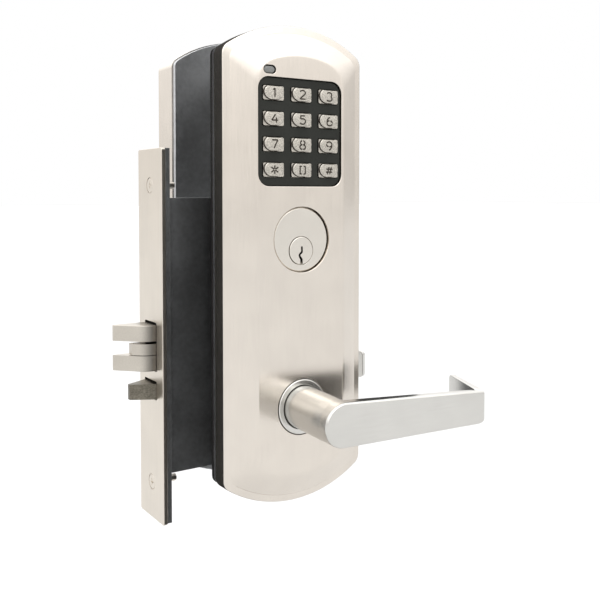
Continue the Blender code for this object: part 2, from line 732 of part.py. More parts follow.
def cylinder_plug(pivot):
    """Turning plug with its keyway, open at the front."""
    trim = OUTSIDE
    front = CYLINDER_FRONT + PLUG_STAND
    shoulder = front - PLUG_SHOULDER_THICKNESS
    profile = [
        (PLUG_SHOULDER / 2, out(trim, front)),
        (PLUG_SHOULDER / 2, out(trim, shoulder)),
        (PLUG_DIAMETER / 2, out(trim, shoulder)),
        (PLUG_DIAMETER / 2, CYLINDER_REACH),
    ]
    plug = lathe("cylinder_plug", profile, "Y", PLUG_AXIS, 32)
    half = KEYWAY_WIDTH / 2
    slot = rectangle((-half, PLUG_Z + KEYWAY_BOTTOM), (half, PLUG_Z + KEYWAY_TOP))
    end = out(trim, front - KEYWAY_DEPTH)
    cut(plug, prism("cutter_keyway", slot, "Y", out(trim, front + CUT), end))
    dress(plug, SATIN_STEEL)
    hang(plug, pivot)


def cylinder_cam(pivot):
    """Cam on the plug's inner end, its lobe pointing away from the faceplate."""
    low = CYLINDER_REACH + GAP
    high = low + CAM_THICKNESS
    cam = prism("cylinder_cam", circle(PLUG_AXIS, CAM_RADIUS), "Y", low, high)
    half = CAM_LOBE_WIDTH / 2
    lobe = rectangle((CAM_RADIUS / 2, PLUG_Z - half), (CAM_LOBE_REACH, PLUG_Z + half))
    join(cam, prism("guide_cam_lobe", lobe, "Y", low, high))
    dress(cam, BRASS)
    hang(cam, pivot)


# ---------------------------------------------------------------- levers


OUTSIDE_NECK_START = OUTSIDE.base + PLATE_THICKNESS + LEVER_SPRING_SPACE
INSIDE_NECK_START = INSIDE.base + PLATE_THICKNESS + GAP


def rose(trim):
    """Bearing ring round a lever's neck, kept behind the trim's face by its lip."""
    inner = NECK_DIAMETER / 2 + ROSE_CLEARANCE
    outer = ROSE_DIAMETER / 2
    lip = outer + ROSE_LIP
    base = trim.base + PLATE_THICKNESS + GAP
    lip_top = trim.face_depth - TRIM_WALL - GAP
    lip_low = lip_top - ROSE_LIP_THICKNESS
    top = trim.face_depth + ROSE_STAND
    profile = [(inner, base), (outer, base), (outer, lip_low), (lip, lip_low)]
    profile += [(lip, lip_top), (outer, lip_top), (outer, top), (inner, top)]
    turned = [(radius, out(trim, depth)) for radius, depth in profile]
    dress(lathe(f"{trim.name}_rose", turned, "Y", (0, 0), 32, closed=True), SATIN_STEEL)


def fillet(corner, before, after, radius, steps=4):
    """Arc that rounds a corner between the directions to its two neighbours."""
    corner = Vector(corner)
    one = (Vector(before) - corner).normalized()
    two = (Vector(after) - corner).normalized()
    half = one.angle(two) / 2
    centre = corner + (one + two).normalized() * radius / math.sin(half)
    start = corner + one * radius / math.tan(half) - centre
    end = corner + two * radius / math.tan(half) - centre
    turn = start.angle_signed(end)
    return [tuple(centre + Matrix.Rotation(-turn * i / steps, 2) @ start) for i in range(steps + 1)]


def lever_plan(trim):
    """Lever seen from above: straight grip and a return that leans out, as (x, y)."""
    front = trim.face_depth + GRIP_STANDOFF
    back = front - GRIP_THICKNESS
    lean = math.sin(RETURN_ANGLE)
    fall = -math.cos(RETURN_ANGLE)
    corner = (GRIP_LENGTH, front)
    tip = (GRIP_LENGTH + RETURN_LENGTH * lean, front + RETURN_LENGTH * fall)
    inner_tip = (tip[0] + RETURN_THICKNESS * fall, tip[1] - RETURN_THICKNESS * lean)
    bend = (math.pi / 2 - RETURN_ANGLE) / 2
    inner_corner = (GRIP_LENGTH - CORNER_THICKNESS * math.tan(bend), front - CORNER_THICKNESS)
    plan = [(-GRIP_RADIUS - CUT, back), (-GRIP_RADIUS - CUT, front)]
    plan += fillet(corner, plan[-1], tip, GRIP_CORNER)
    plan += [tip, inner_tip]
    plan += fillet(inner_corner, inner_tip, plan[0], GRIP_CORNER)
    return [(x, out(trim, depth)) for x, depth in plan]


def lever_face():
    """Lever seen from the front: a half round at the neck and a gentle taper, as (x, z)."""
    reach = GRIP_LENGTH + RETURN_LENGTH
    head = arc((0, -GRIP_DROP), GRIP_RADIUS, 90, 270, 14)
    lower = [(GRIP_LENGTH, GRIP_END_BOTTOM), (reach, GRIP_END_BOTTOM)]
    return head + lower + [(reach, GRIP_END_TOP), (GRIP_LENGTH, GRIP_END_TOP)]


def lever(trim, neck_start, pivot):
    """Grip cut from its plan and its front outline, on a round neck with a square socket."""
    front = trim.face_depth + GRIP_STANDOFF
    side = TRIM_HALF_WIDTH
    grip = prism(f"{trim.name}_lever", lever_plan(trim), "Z", -side, side)
    face = prism(f"guide_{trim.name}_grip", lever_face(), "Y", out(trim, 0), out(trim, front + CUT))
    boolean(grip, face, "INTERSECT")
    rings = [
        ring(circle((0, 0), NECK_DIAMETER / 2, 32), "Y", out(trim, neck_start)),
        ring(circle((0, 0), NECK_DIAMETER / 2, 32), "Y", out(trim, trim.face_depth + ROSE_STAND)),
        ring(circle((0, -GRIP_DROP), NECK_DIAMETER / 2 - CUT / 2, 32), "Y",
             out(trim, front - GRIP_THICKNESS + NECK_OVERLAP)),
    ]
    join(grip, stack(f"guide_{trim.name}_neck", rings))
    half = SPINDLE_WIDTH / 2 + GAP
    socket = rectangle((-half, -half), (half, half))
    end = out(trim, neck_start + SPINDLE_SOCKET_DEPTH + GAP)
    cut(grip, prism(f"cutter_{trim.name}_socket", socket, "Y", out(trim, neck_start - CUT), end))
    dress(grip, SATIN_STEEL)
    hang(grip, pivot)


def spindle(trim, neck_start, hub_end, pivot):
    """Square bar from a lever's socket into its hub."""
    half = SPINDLE_WIDTH / 2
    square = rectangle((-half, -half), (half, half))
    start = out(trim, neck_start + SPINDLE_SOCKET_DEPTH)
    bar = prism(f"{trim.name}_spindle", square, "Y", start, hub_end)
    dress(bar, ZINC)
    hang(bar, pivot)


def lever_spring():
    """Coil round the outside spindle, between the plate and the lever's neck."""
    low = OUTSIDE.base + PLATE_THICKNESS + GAP + LEVER_SPRING_WIRE / 2
    high = OUTSIDE_NECK_START - GAP - LEVER_SPRING_WIRE / 2
    outer = NECK_DIAMETER - 2 * ROSE_CLEARANCE
    place = (out(OUTSIDE, low), out(OUTSIDE, high))
    wound = (outer, LEVER_SPRING_WIRE, *place, LEVER_SPRING_TURNS)
    spring = coil("lever_return_spring", "Y", (0, 0), *wound)
    dress(spring, SPRING_STEEL)


# ---------------------------------------------------------------- mortise case


TAIL_X = HUB_ARM_WIDTH / 2 + TAIL_CLEARANCE
FACEPLATE_FRONT = -BACKSET
FACEPLATE_BACK = FACEPLATE_FRONT + FACEPLATE_THICKNESS
FRONT_PLATE_FRONT = FACEPLATE_BACK + GAP
FRONT_PLATE_BACK = FRONT_PLATE_FRONT + FRONT_PLATE_THICKNESS
CASE_FRONT_X = FRONT_PLATE_BACK + GAP
FACEPLATE_BOTTOM = FACEPLATE_TOP - FACEPLATE_HEIGHT
FACEPLATE_SCREW_Z = (FACEPLATE_TOP - FACEPLATE_SCREW_INSET, FACEPLATE_BOTTOM + FACEPLATE_SCREW_INSET)
LATCH_ROD_Y = DOOR_MIDDLE
GUARD_ROD_AXIS = ((GUARD_NEAR_Y + GUARD_FAR_Y) / 2, (GUARD_BOTTOM + GUARD_TOP) / 2)
LATCH_ROD_AXIS = (LATCH_ROD_Y, LATCH_ROD_Z)


def cut_bolt_openings(target, low, high):
    """Openings for the latch and the guard bolt through a plate that lies across X."""
    latch = rectangle((LATCH_NEAR_Y - SLIDE_GAP, LATCH_BOTTOM - SLIDE_GAP),
                      (LATCH_FAR_Y + SLIDE_GAP, LATCH_TOP + OPENING_ROOM))
    guard = rectangle((GUARD_NEAR_Y - SLIDE_GAP, GUARD_BOTTOM - SLIDE_GAP),
                      (GUARD_FAR_Y + SLIDE_GAP, GUARD_TOP + OPENING_ROOM))
    cut(target, prisms(f"cutter_{target.name}_bolts", [latch, guard], "X", low - CUT, high + CUT))


def front_plates():
    """Finished faceplate and the stiff plate behind it, which carries the case."""
    half = FACEPLATE_WIDTH / 2
    outline = rectangle((DOOR_MIDDLE - half, FACEPLATE_BOTTOM), (DOOR_MIDDLE + half, FACEPLATE_TOP))
    faceplate = prism("faceplate", outline, "X", FACEPLATE_FRONT, FACEPLATE_BACK)
    cut_bolt_openings(faceplate, FACEPLATE_FRONT, FACEPLATE_BACK)
    for z in FACEPLATE_SCREW_Z:
        sink = [
            (FACEPLATE_SCREW_HEAD / 2 + GAP, FACEPLATE_FRONT - CUT),
            (FACEPLATE_SCREW_HEAD / 2 + GAP, FACEPLATE_FRONT + GAP),
            (FACEPLATE_SCREW_SHANK / 2 + GAP, FACEPLATE_BACK - GAP),
            (FACEPLATE_SCREW_SHANK / 2 + GAP, FACEPLATE_BACK + CUT),
        ]
        cut(faceplate, lathe(f"cutter_faceplate_screw_{z}", sink, "X", (DOOR_MIDDLE, z), 16))
    dress(faceplate, SATIN_STEEL)
    half = FRONT_PLATE_WIDTH / 2
    outline = rectangle((DOOR_MIDDLE - half, FACEPLATE_BOTTOM), (DOOR_MIDDLE + half, FACEPLATE_TOP))
    front = prism("case_front", outline, "X", FRONT_PLATE_FRONT, FRONT_PLATE_BACK)
    cut_bolt_openings(front, FRONT_PLATE_FRONT, FRONT_PLATE_BACK)
    holes = [(z, FACEPLATE_SCREW_SHANK) for z in FACEPLATE_SCREW_Z] + [(CYLINDER_Z, SET_SCREW_DIAMETER)]
    for z, diameter in holes:
        span = (FRONT_PLATE_FRONT - CUT, FRONT_PLATE_BACK + CUT)
        drill(front, f"cutter_front_{z}", "X", (DOOR_MIDDLE, z), diameter + 2 * GAP, *span, 12)
    dress(front, ZINC)


def faceplate_screws():
    for label, z in zip(("top", "bottom"), FACEPLATE_SCREW_Z):
        profile = [
            (FACEPLATE_SCREW_HEAD / 2, FACEPLATE_FRONT),
            (FACEPLATE_SCREW_HEAD / 2, FACEPLATE_FRONT + GAP),
            (FACEPLATE_SCREW_SHANK / 2, FACEPLATE_BACK - GAP),
            (FACEPLATE_SCREW_SHANK / 2, FACEPLATE_FRONT + FACEPLATE_SCREW_LENGTH),
        ]
        dress(lathe(f"faceplate_screw_{label}", profile, "X", (DOOR_MIDDLE, z), 16), SATIN_STEEL)


def add_lug(case, name, x, axis_point, diameter):
    """Guide wall that stands on the case's back, with a hole for a bolt's rod."""
    y, z = axis_point
    wall = rectangle((y - diameter / 2 - LUG_BORDER, z - diameter / 2 - LUG_BORDER / 2),
                     (CASE_FAR_Y - CASE_WALL / 2, z + diameter / 2 + LUG_BORDER / 2))
    join(case, prism(f"guide_{name}", wall, "X", x, x + LUG_THICKNESS))
    hole = (x - CUT, x + LUG_THICKNESS + CUT)
    drill(case, f"cutter_{name}", "X", axis_point, diameter + 2 * GAP, *hole, 16)


def lock_case():
    """Folded steel box, open on the outside face, where its cover closes it."""
    outer = rectangle((CASE_FRONT_X, CASE_BOTTOM), (CASE_BACK_X, CASE_TOP))
    inner = rectangle((CASE_FRONT_X + CASE_WALL, CASE_BOTTOM + CASE_WALL),
                      (CASE_BACK_X - CASE_WALL, CASE_TOP - CASE_WALL))
    rim = COVER_BACK_Y + GAP
    floor = CASE_FAR_Y - CASE_WALL
    rings = [
        ring(outer, "Y", CASE_FAR_Y),
        ring(outer, "Y", rim),
        ring(inner, "Y", rim),
        ring(inner, "Y", floor),
    ]
    case = stack("lock_case", rings)
    add_lug(case, "latch_lug", LATCH_LUG_X, LATCH_ROD_AXIS, LATCH_ROD_DIAMETER)
    add_lug(case, "guard_lug", GUARD_LUG_X, GUARD_ROD_AXIS, GUARD_ROD_DIAMETER)
    cut_bolt_openings(case, CASE_FRONT_X, CASE_FRONT_X + CASE_WALL)
    hub_hole = HUB_BOSS_DIAMETER + 2 * GAP
    drill(case, "cutter_case_hub", "Y", (0, 0), hub_hole, floor - CUT, CASE_FAR_Y + CUT)
    screw = SET_SCREW_DIAMETER + 2 * GAP
    span = (CASE_FRONT_X - CUT, CASE_FRONT_X + CASE_WALL + CUT)
    drill(case, "cutter_case_set_screw", "X", (DOOR_MIDDLE, CYLINDER_Z), screw, *span, 12)
    dress(case, ZINC)


def case_cover():
    outline = rectangle((CASE_FRONT_X, CASE_BOTTOM), (CASE_BACK_X, CASE_TOP))
    cover = prism("case_cover", outline, "Y", CASE_NEAR_Y, COVER_BACK_Y)
    span = (CASE_NEAR_Y - CUT, COVER_BACK_Y + CUT)
    drill(cover, "cutter_cover_hub", "Y", (0, 0), HUB_BOSS_DIAMETER + 2 * GAP, *span)
    drill(cover, "cutter_cover_cylinder", "Y", (0, CYLINDER_Z), CYLINDER_BARREL + 2 * GAP, *span, 32)
    dress(cover, ZINC)


def cylinder_set_screw():
    """Long screw from behind the faceplate that stops the cylinder turning."""
    profile = [
        (SET_SCREW_DIAMETER / 2, FRONT_PLATE_FRONT),
        (SET_SCREW_DIAMETER / 2, -CYLINDER_BARREL / 2 - GAP),
    ]
    dress(lathe("cylinder_set_screw", profile, "X", (DOOR_MIDDLE, CYLINDER_Z), 12), ZINC)


# ---------------------------------------------------------------- bolts


def bevel_curve(tip_x):
    """Latch's working face seen from above: straight, then round, then sloping to a given x."""
    start_x = FACEPLATE_FRONT - LATCH_SHOULDER
    degrees = math.degrees(LATCH_BEVEL_ANGLE)
    centre = (start_x, LATCH_NEAR_Y + LATCH_BEVEL_RADIUS)
    points = arc(centre, LATCH_BEVEL_RADIUS, -90, -90 - degrees, 5)
    end_x, end_y = points[-1]
    return points + [(tip_x, end_y + (end_x - tip_x) * math.tan(LATCH_BEVEL_ANGLE))]


def latch_bolt(pivot):
    """Forked head, guide rod and the tail plate that the outside hub pushes."""
    tip_x = FACEPLATE_FRONT - LATCH_THROW
    plan = [(LATCH_REAR_X, LATCH_FAR_Y), (LATCH_REAR_X, LATCH_NEAR_Y)] + bevel_curve(tip_x)
    plan.append((tip_x, LATCH_FAR_Y))
    latch = prism("latch_bolt", plan, "Z", LATCH_BOTTOM, LATCH_TOP)
    rod_end = TAIL_X + TAIL_THICKNESS / 2
    rod = [(LATCH_ROD_DIAMETER / 2, LATCH_REAR_X - CUT), (LATCH_ROD_DIAMETER / 2, rod_end)]
    join(latch, lathe("guide_latch_rod", rod, "X", LATCH_ROD_AXIS, 16))
    tail_top = LATCH_ROD_Z + LATCH_ROD_DIAMETER / 2
    tail = rectangle((COVER_BACK_Y + 2 * GAP, TAIL_BOTTOM), (DOOR_MIDDLE - HUB_SPLIT, tail_top))
    join(latch, prism("guide_latch_tail", tail, "X", TAIL_X, TAIL_X + TAIL_THICKNESS))
    slot = rectangle((tip_x - CUT, LATCH_NEAR_Y - CUT), (SLOT_REAR_X, LATCH_FAR_Y + CUT))
    cut(latch, prism("cutter_latch_slot", slot, "Z", SLOT_BOTTOM, SLOT_TOP))
    pin = LATCH_PIN_DIAMETER + 2 * GAP
    pin_axis = (LATCH_PIN_X, LATCH_PIN_Y)
    drill(latch, "cutter_latch_pin", "Z", pin_axis, pin, LATCH_BOTTOM - CUT, LATCH_TOP + CUT, 12)
    dress(latch, SATIN_STEEL)
    hang(latch, pivot)


def latch_tongue(pivot):
    """Anti-friction tongue in the latch's slot, on its own upright pin."""
    plan = [(LATCH_PIN_X, LATCH_NEAR_Y)] + bevel_curve(TONGUE_TIP_X) + [(TONGUE_TIP_X, TONGUE_FAR_Y)]
    plan += [(LATCH_PIN_X - TONGUE_BOSS_RADIUS, TONGUE_FAR_Y)]
    plan += arc((LATCH_PIN_X, LATCH_PIN_Y), TONGUE_BOSS_RADIUS, 180, 0, 8)[1:]
    low = SLOT_BOTTOM + GAP
    high = SLOT_TOP - TONGUE_CLEARANCE
    tongue = prism("latch_tongue", plan, "Z", low, high)
    pin = LATCH_PIN_DIAMETER + 2 * GAP
    drill(tongue, "cutter_tongue_pin", "Z", (LATCH_PIN_X, LATCH_PIN_Y), pin, low - CUT, high + CUT, 12)
    dress(tongue, SATIN_STEEL)
    hang(tongue, pivot)


def latch_pin(pivot):
    outline = circle((LATCH_PIN_X, LATCH_PIN_Y), LATCH_PIN_DIAMETER / 2, 12)
    pin = prism("latch_pin", outline, "Z", LATCH_BOTTOM + GAP, LATCH_TOP - GAP)
    dress(pin, ZINC)
    hang(pin, pivot)


def guard_bolt(pivot):
    """Wedge under the latch, bevelled on both sides so that it suits either hand, with a rod."""
    middle = (GUARD_NEAR_Y + GUARD_FAR_Y) / 2
    half_tip = GUARD_TIP_WIDTH / 2
    shoulder = FACEPLATE_FRONT - GUARD_SHOULDER
    plan = [
        (GUARD_REAR_X, GUARD_FAR_Y),
        (GUARD_REAR_X, GUARD_NEAR_Y),
        (shoulder, GUARD_NEAR_Y),
        (GUARD_TIP_X, middle - half_tip),
        (GUARD_TIP_X, middle + half_tip),
        (shoulder, GUARD_FAR_Y),
    ]
    bolt = prism("guard_bolt", plan, "Z", GUARD_BOTTOM, GUARD_TOP)
    rod = [(GUARD_ROD_DIAMETER / 2, GUARD_REAR_X - CUT), (GUARD_ROD_DIAMETER / 2, GUARD_ROD_X)]
    join(bolt, lathe("guide_guard_rod", rod, "X", GUARD_ROD_AXIS, 12))
    dress(bolt, DULL_STEEL)
    hang(bolt, pivot)


def bolt_springs():
    """Coils round the two rods, from the back of each bolt to its lug."""
    wire = LATCH_SPRING_WIRE
    place = (LATCH_REAR_X + GAP + wire / 2, LATCH_LUG_X - GAP - wire / 2)
    latch = coil("latch_spring", "X", LATCH_ROD_AXIS, LATCH_SPRING_DIAMETER, wire, *place,
                 LATCH_SPRING_TURNS, 5, 8)
    dress(latch, SPRING_STEEL)
    wire = GUARD_SPRING_WIRE
    place = (GUARD_REAR_X + GAP + wire / 2, GUARD_LUG_X - GAP - wire / 2)
    guard = coil("guard_spring", "X", GUARD_ROD_AXIS, GUARD_SPRING_DIAMETER, wire, *place,
                 GUARD_SPRING_TURNS, 5, 8)
    dress(guard, SPRING_STEEL)


def hub(name, outer_y, boss_y, middle_y, pivot):
    """Hub with a bearing boss in the case's wall, an upright arm and a square hole."""
    profile = [
        (HUB_BOSS_DIAMETER / 2, outer_y),
        (HUB_BOSS_DIAMETER / 2, boss_y),
        (HUB_RADIUS, boss_y),
        (HUB_RADIUS, middle_y),
    ]
    body = lathe(name, profile, "Y", (0, 0), 28)
    half = HUB_ARM_WIDTH / 2
    arm = rectangle((-half, HUB_RADIUS / 2), (half, HUB_ARM_REACH))
    join(body, prism(f"guide_{name}_arm", arm, "Y", boss_y, middle_y))
    half = SPINDLE_WIDTH / 2 + GAP
    square = rectangle((-half, -half), (half, half))
    span = sorted((outer_y, middle_y))
    cut(body, prism(f"cutter_{name}_square", square, "Y", span[0] - CUT, span[1] + CUT))
    dress(body, ZINC)
    hang(body, pivot)


def clutch_motor():
    """Small motor beside the outside hub, which blocks or frees it."""
    centre = (COVER_BACK_Y + 2 * GAP + MOTOR_DIAMETER / 2, 0)
    back = CASE_BACK_X - CASE_WALL - GAP
    front = back - MOTOR_LENGTH
    shaft = HUB_RADIUS + 3 * GAP
    profile = [
        (MOTOR_DIAMETER / 2, back),
        (MOTOR_DIAMETER / 2, front),
        (SET_SCREW_DIAMETER / 2, front),
        (SET_SCREW_DIAMETER / 2, shaft),
    ]
    dress(lathe("clutch_motor", profile, "X", centre, 16), ZINC)


# ---------------------------------------------------------------- inside trim


BATTERY_PITCH = BATTERY_DIAMETER + GAP
BATTERY_SPAN = BATTERY_PITCH * BATTERY_COUNT
TRAY_INNER_WIDTH = BATTERY_SPAN + 2 * GAP
TRAY_INNER_HEIGHT = BATTERY_LENGTH + BATTERY_NUB_HEIGHT + 2 * BATTERY_END_SPACE
TRAY_WIDTH = TRAY_INNER_WIDTH + 2 * TRAY_WALL
TRAY_HEIGHT = TRAY_INNER_HEIGHT + 2 * TRAY_WALL
COVER_WIDTH = TRAY_WIDTH + 2 * COVER_BORDER
COVER_HEIGHT = TRAY_HEIGHT + 2 * COVER_BORDER
COVER_BACK = INSIDE.face_depth - COVER_THICKNESS
TRAY_RIM = COVER_BACK - GAP
TRAY_FLOOR = TRAY_RIM - 2 * GAP - BATTERY_DIAMETER - GAP
TRAY_BACK = TRAY_FLOOR - TRAY_WALL
INSIDE_BOARD_BACK = INSIDE.base + PLATE_THICKNESS + GAP
INSIDE_SCREW_REACH = 0.012


def inside_escutcheon():
    trim = INSIDE
    shell = escutcheon(trim)
    window = rounded((0, BATTERY_Z), COVER_WIDTH + 2 * GAP, COVER_HEIGHT + 2 * GAP, COVER_CORNER + GAP)
    under = out(trim, trim.face_depth - TRIM_WALL - CUT)
    face = out(trim, trim.face_depth + CUT)
    cut(shell, prism("cutter_battery_window", window, "Y", under, face))
    cut_rose_hole(trim, shell)
    screw = (0, INSIDE_SCREW_Z)
    drill(shell, "cutter_inside_screw", "Y", screw, SCREW_DIAMETER + 2 * GAP, under, face, 12)
    head = SCREW_HEAD_DIAMETER + 2 * GAP
    sink = out(trim, trim.face_depth - SCREW_HEAD_HEIGHT - GAP)
    drill(shell, "cutter_inside_screw_head", "Y", screw, head, sink, face, 16)
    dress(shell, SATIN_STEEL)


def inside_mounting_plate():
    """Plate on the inside of the door, with the post that takes the trim's screw."""
    trim = INSIDE
    plate, past = mounting_plate(trim)
    inner = out(trim, PLATE_THICKNESS / 2)
    top = out(trim, trim.face_depth - TRIM_WALL - GAP)
    post = circle((0, INSIDE_SCREW_Z), SCREW_BOSS_DIAMETER / 2, 16)
    join(plate, prism("guide_inside_post", post, "Y", inner, top))
    thread = SCREW_DIAMETER + 2 * GAP
    low = out(trim, INSIDE_SCREW_REACH - CUT)
    drill(plate, "cutter_inside_post", "Y", (0, INSIDE_SCREW_Z), thread, low, top + CUT, 12)
    for z in THROUGH_BOLT_Z:
        drill(plate, f"cutter_inside_bolt_{z}", "Y", (0, z), BOLT_DIAMETER + 2 * GAP, *past, 12)
    dress(plate, ZINC)


def inside_trim_screw():
    trim = INSIDE
    shank = trim.face_depth - SCREW_HEAD_HEIGHT
    profile = [
        (SCREW_HEAD_DIAMETER / 2, out(trim, trim.face_depth)),
        (SCREW_HEAD_DIAMETER / 2, out(trim, shank)),
        (SCREW_DIAMETER / 2, out(trim, shank)),
        (SCREW_DIAMETER / 2, out(trim, INSIDE_SCREW_REACH)),
    ]
    dress(lathe("inside_escutcheon_screw", profile, "Y", (0, INSIDE_SCREW_Z), 12), SATIN_STEEL)


def through_bolts():
    """Machine screws that clamp the two trims on the door."""
    seat = out(INSIDE, PLATE_THICKNESS + GAP)
    for label, z in zip(("top", "bottom"), THROUGH_BOLT_Z):
        profile = [
            (BOLT_HEAD_DIAMETER / 2, seat + BOLT_HEAD_HEIGHT),
            (BOLT_HEAD_DIAMETER / 2, seat),
            (BOLT_DIAMETER / 2, seat),
            (BOLT_DIAMETER / 2, out(OUTSIDE, OUTSIDE.base)),
        ]
        dress(lathe(f"through_bolt_{label}", profile, "Y", (0, z), 12), ZINC)


def battery_tray():
    trim = INSIDE
    outer = rounded((0, BATTERY_Z), TRAY_WIDTH, TRAY_HEIGHT, TRAY_WALL, 1)
    inner = rounded((0, BATTERY_Z), TRAY_INNER_WIDTH, TRAY_INNER_HEIGHT, GAP, 1)
    rings = [
        ring(outer, "Y", out(trim, TRAY_BACK)),
        ring(outer, "Y", out(trim, TRAY_RIM)),
        ring(inner, "Y", out(trim, TRAY_RIM)),
        ring(inner, "Y", out(trim, TRAY_FLOOR)),
    ]
    dress(stack("battery_tray", rings), GREY_PLASTIC)


def batteries():
    """Round cells side by side, every second one upside down."""
    depth = TRAY_FLOOR + GAP + BATTERY_DIAMETER / 2
    y = out(INSIDE, depth)
    half = (BATTERY_LENGTH + BATTERY_NUB_HEIGHT) / 2
    for i in range(BATTERY_COUNT):
        x = (i - (BATTERY_COUNT - 1) / 2) * BATTERY_PITCH
        way = 1 if i % 2 == 0 else -1
        profile = [
            (BATTERY_DIAMETER / 2, BATTERY_Z - way * half),
            (BATTERY_DIAMETER / 2, BATTERY_Z + way * (half - BATTERY_NUB_HEIGHT)),
            (BATTERY_NUB_DIAMETER / 2, BATTERY_Z + way * (half - BATTERY_NUB_HEIGHT)),
            (BATTERY_NUB_DIAMETER / 2, BATTERY_Z + way * half),
        ]
        dress(lathe(f"battery_{i + 1}", profile, "Z", (x, y), 16), BATTERY_SLEEVE)


def battery_cover():
    trim = INSIDE
    outline = rounded((0, BATTERY_Z), COVER_WIDTH, COVER_HEIGHT, COVER_CORNER)
    cover = prism("battery_cover", outline, "Y", out(trim, COVER_BACK), out(trim, trim.face_depth))
    dress(cover, SATIN_STEEL, origin=(0, out(trim, COVER_BACK), BATTERY_Z))


def control_board():
    half = INSIDE_BOARD_HALF_WIDTH
    outline = rectangle((-half, INSIDE_BOARD_Z[0]), (half, INSIDE_BOARD_Z[1]))
    low = out(INSIDE, INSIDE_BOARD_BACK)
    board = prism("control_board", outline, "Y", low, low + BOARD_THICKNESS)
    dress(board, GREEN_BOARD)


def wire_harness():
    """Wire from the keypad board through the door, above the case, to the control board."""
    start = out(OUTSIDE, BOARD_BACK - GAP)
    end = out(INSIDE, INSIDE_BOARD_BACK - GAP)
    steps = 6
    rings = []
    for i in range(steps + 1):
        share = i / steps
        ease = share * share * (3 - 2 * share)
        z = WIRE_OUTSIDE_Z + (WIRE_INSIDE_Z - WIRE_OUTSIDE_Z) * ease
        rings.append(ring(circle((0, z), WIRE_DIAMETER / 2, 10), "Y", start + (end - start) * share))
    dress(stack("wire_harness", rings), BLACK_RUBBER)


# ---------------------------------------------------------------- assembly


def clear_scene():
    for obj in list(bpy.data.objects):
        bpy.data.objects.remove(obj, do_unlink=True)


def build_outside_trim(axis):
    outside_gasket()
    outside_mounting_plate()
    outside_escutcheon()
    outside_trim_screws()
    keypad_panel()
    keys()
    keypad_membrane()
    keypad_circuit_board()
    led_lens()
    rose(OUTSIDE)
    lever(OUTSIDE, OUTSIDE_NECK_START, axis)
    lever_spring()
    spindle(OUTSIDE, OUTSIDE_NECK_START, DOOR_MIDDLE - HUB_SPLIT, axis)


def build_cylinder():
    cylinder_body()
    axis = pivot_at("cylinder_axis", (0, CYLINDER_REACH, PLUG_Z))
    cylinder_plug(axis)
    cylinder_cam(axis)
    cylinder_set_screw()


def build_case(outside_axis, inside_axis):
    front_plates()
    faceplate_screws()
    lock_case()
    case_cover()
    slide = pivot_at("latch_slide", (LATCH_REAR_X, LATCH_ROD_Y, LATCH_ROD_Z))
    latch_bolt(slide)
    latch_pin(slide)
    swing = pivot_at("tongue_axis", (LATCH_PIN_X, LATCH_PIN_Y, LATCH_ROD_Z))
    latch_tongue(swing)
    guard_bolt(pivot_at("guard_slide", (GUARD_REAR_X, *GUARD_ROD_AXIS)))
    bolt_springs()
    near = COVER_BACK_Y + 2 * GAP
    far = CASE_FAR_Y - CASE_WALL - GAP
    hub("outside_hub", CASE_NEAR_Y + GAP, near, DOOR_MIDDLE - HUB_SPLIT / 2, outside_axis)
    hub("inside_hub", CASE_FAR_Y - GAP, far, DOOR_MIDDLE + HUB_SPLIT / 2, inside_axis)
    clutch_motor()


def build_inside_trim(axis):
    inside_mounting_plate()
    inside_escutcheon()
    inside_trim_screw()
    through_bolts()
    battery_tray()
    batteries()
    battery_cover()
    control_board()
    wire_harness()
    rose(INSIDE)
    lever(INSIDE, INSIDE_NECK_START, axis)
    spindle(INSIDE, INSIDE_NECK_START, DOOR_MIDDLE + HUB_SPLIT, axis)


def main():
    clear_scene()
    outside_axis = pivot_at("outside_lever_axis", (0, 0, 0))
    inside_axis = pivot_at("inside_lever_axis", (0, DOOR_THICKNESS, 0))
    build_outside_trim(outside_axis)
    build_cylinder()
    build_case(outside_axis, inside_axis)
    build_inside_trim(inside_axis)


main()
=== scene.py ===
# %% [markdown]
# # A keypad mortise lock
# The lock has three groups: a keypad trim on the outside of the door, a mortise case with its
# latch inside the door's edge, and a battery trim on the inside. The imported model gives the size,
# the place and the movement of every part. This file gives each part its finished surface. The
# model is loaded as a fixed frame, and new pieces are laid over it, so nothing has to be fitted.

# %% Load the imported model
import json
import math

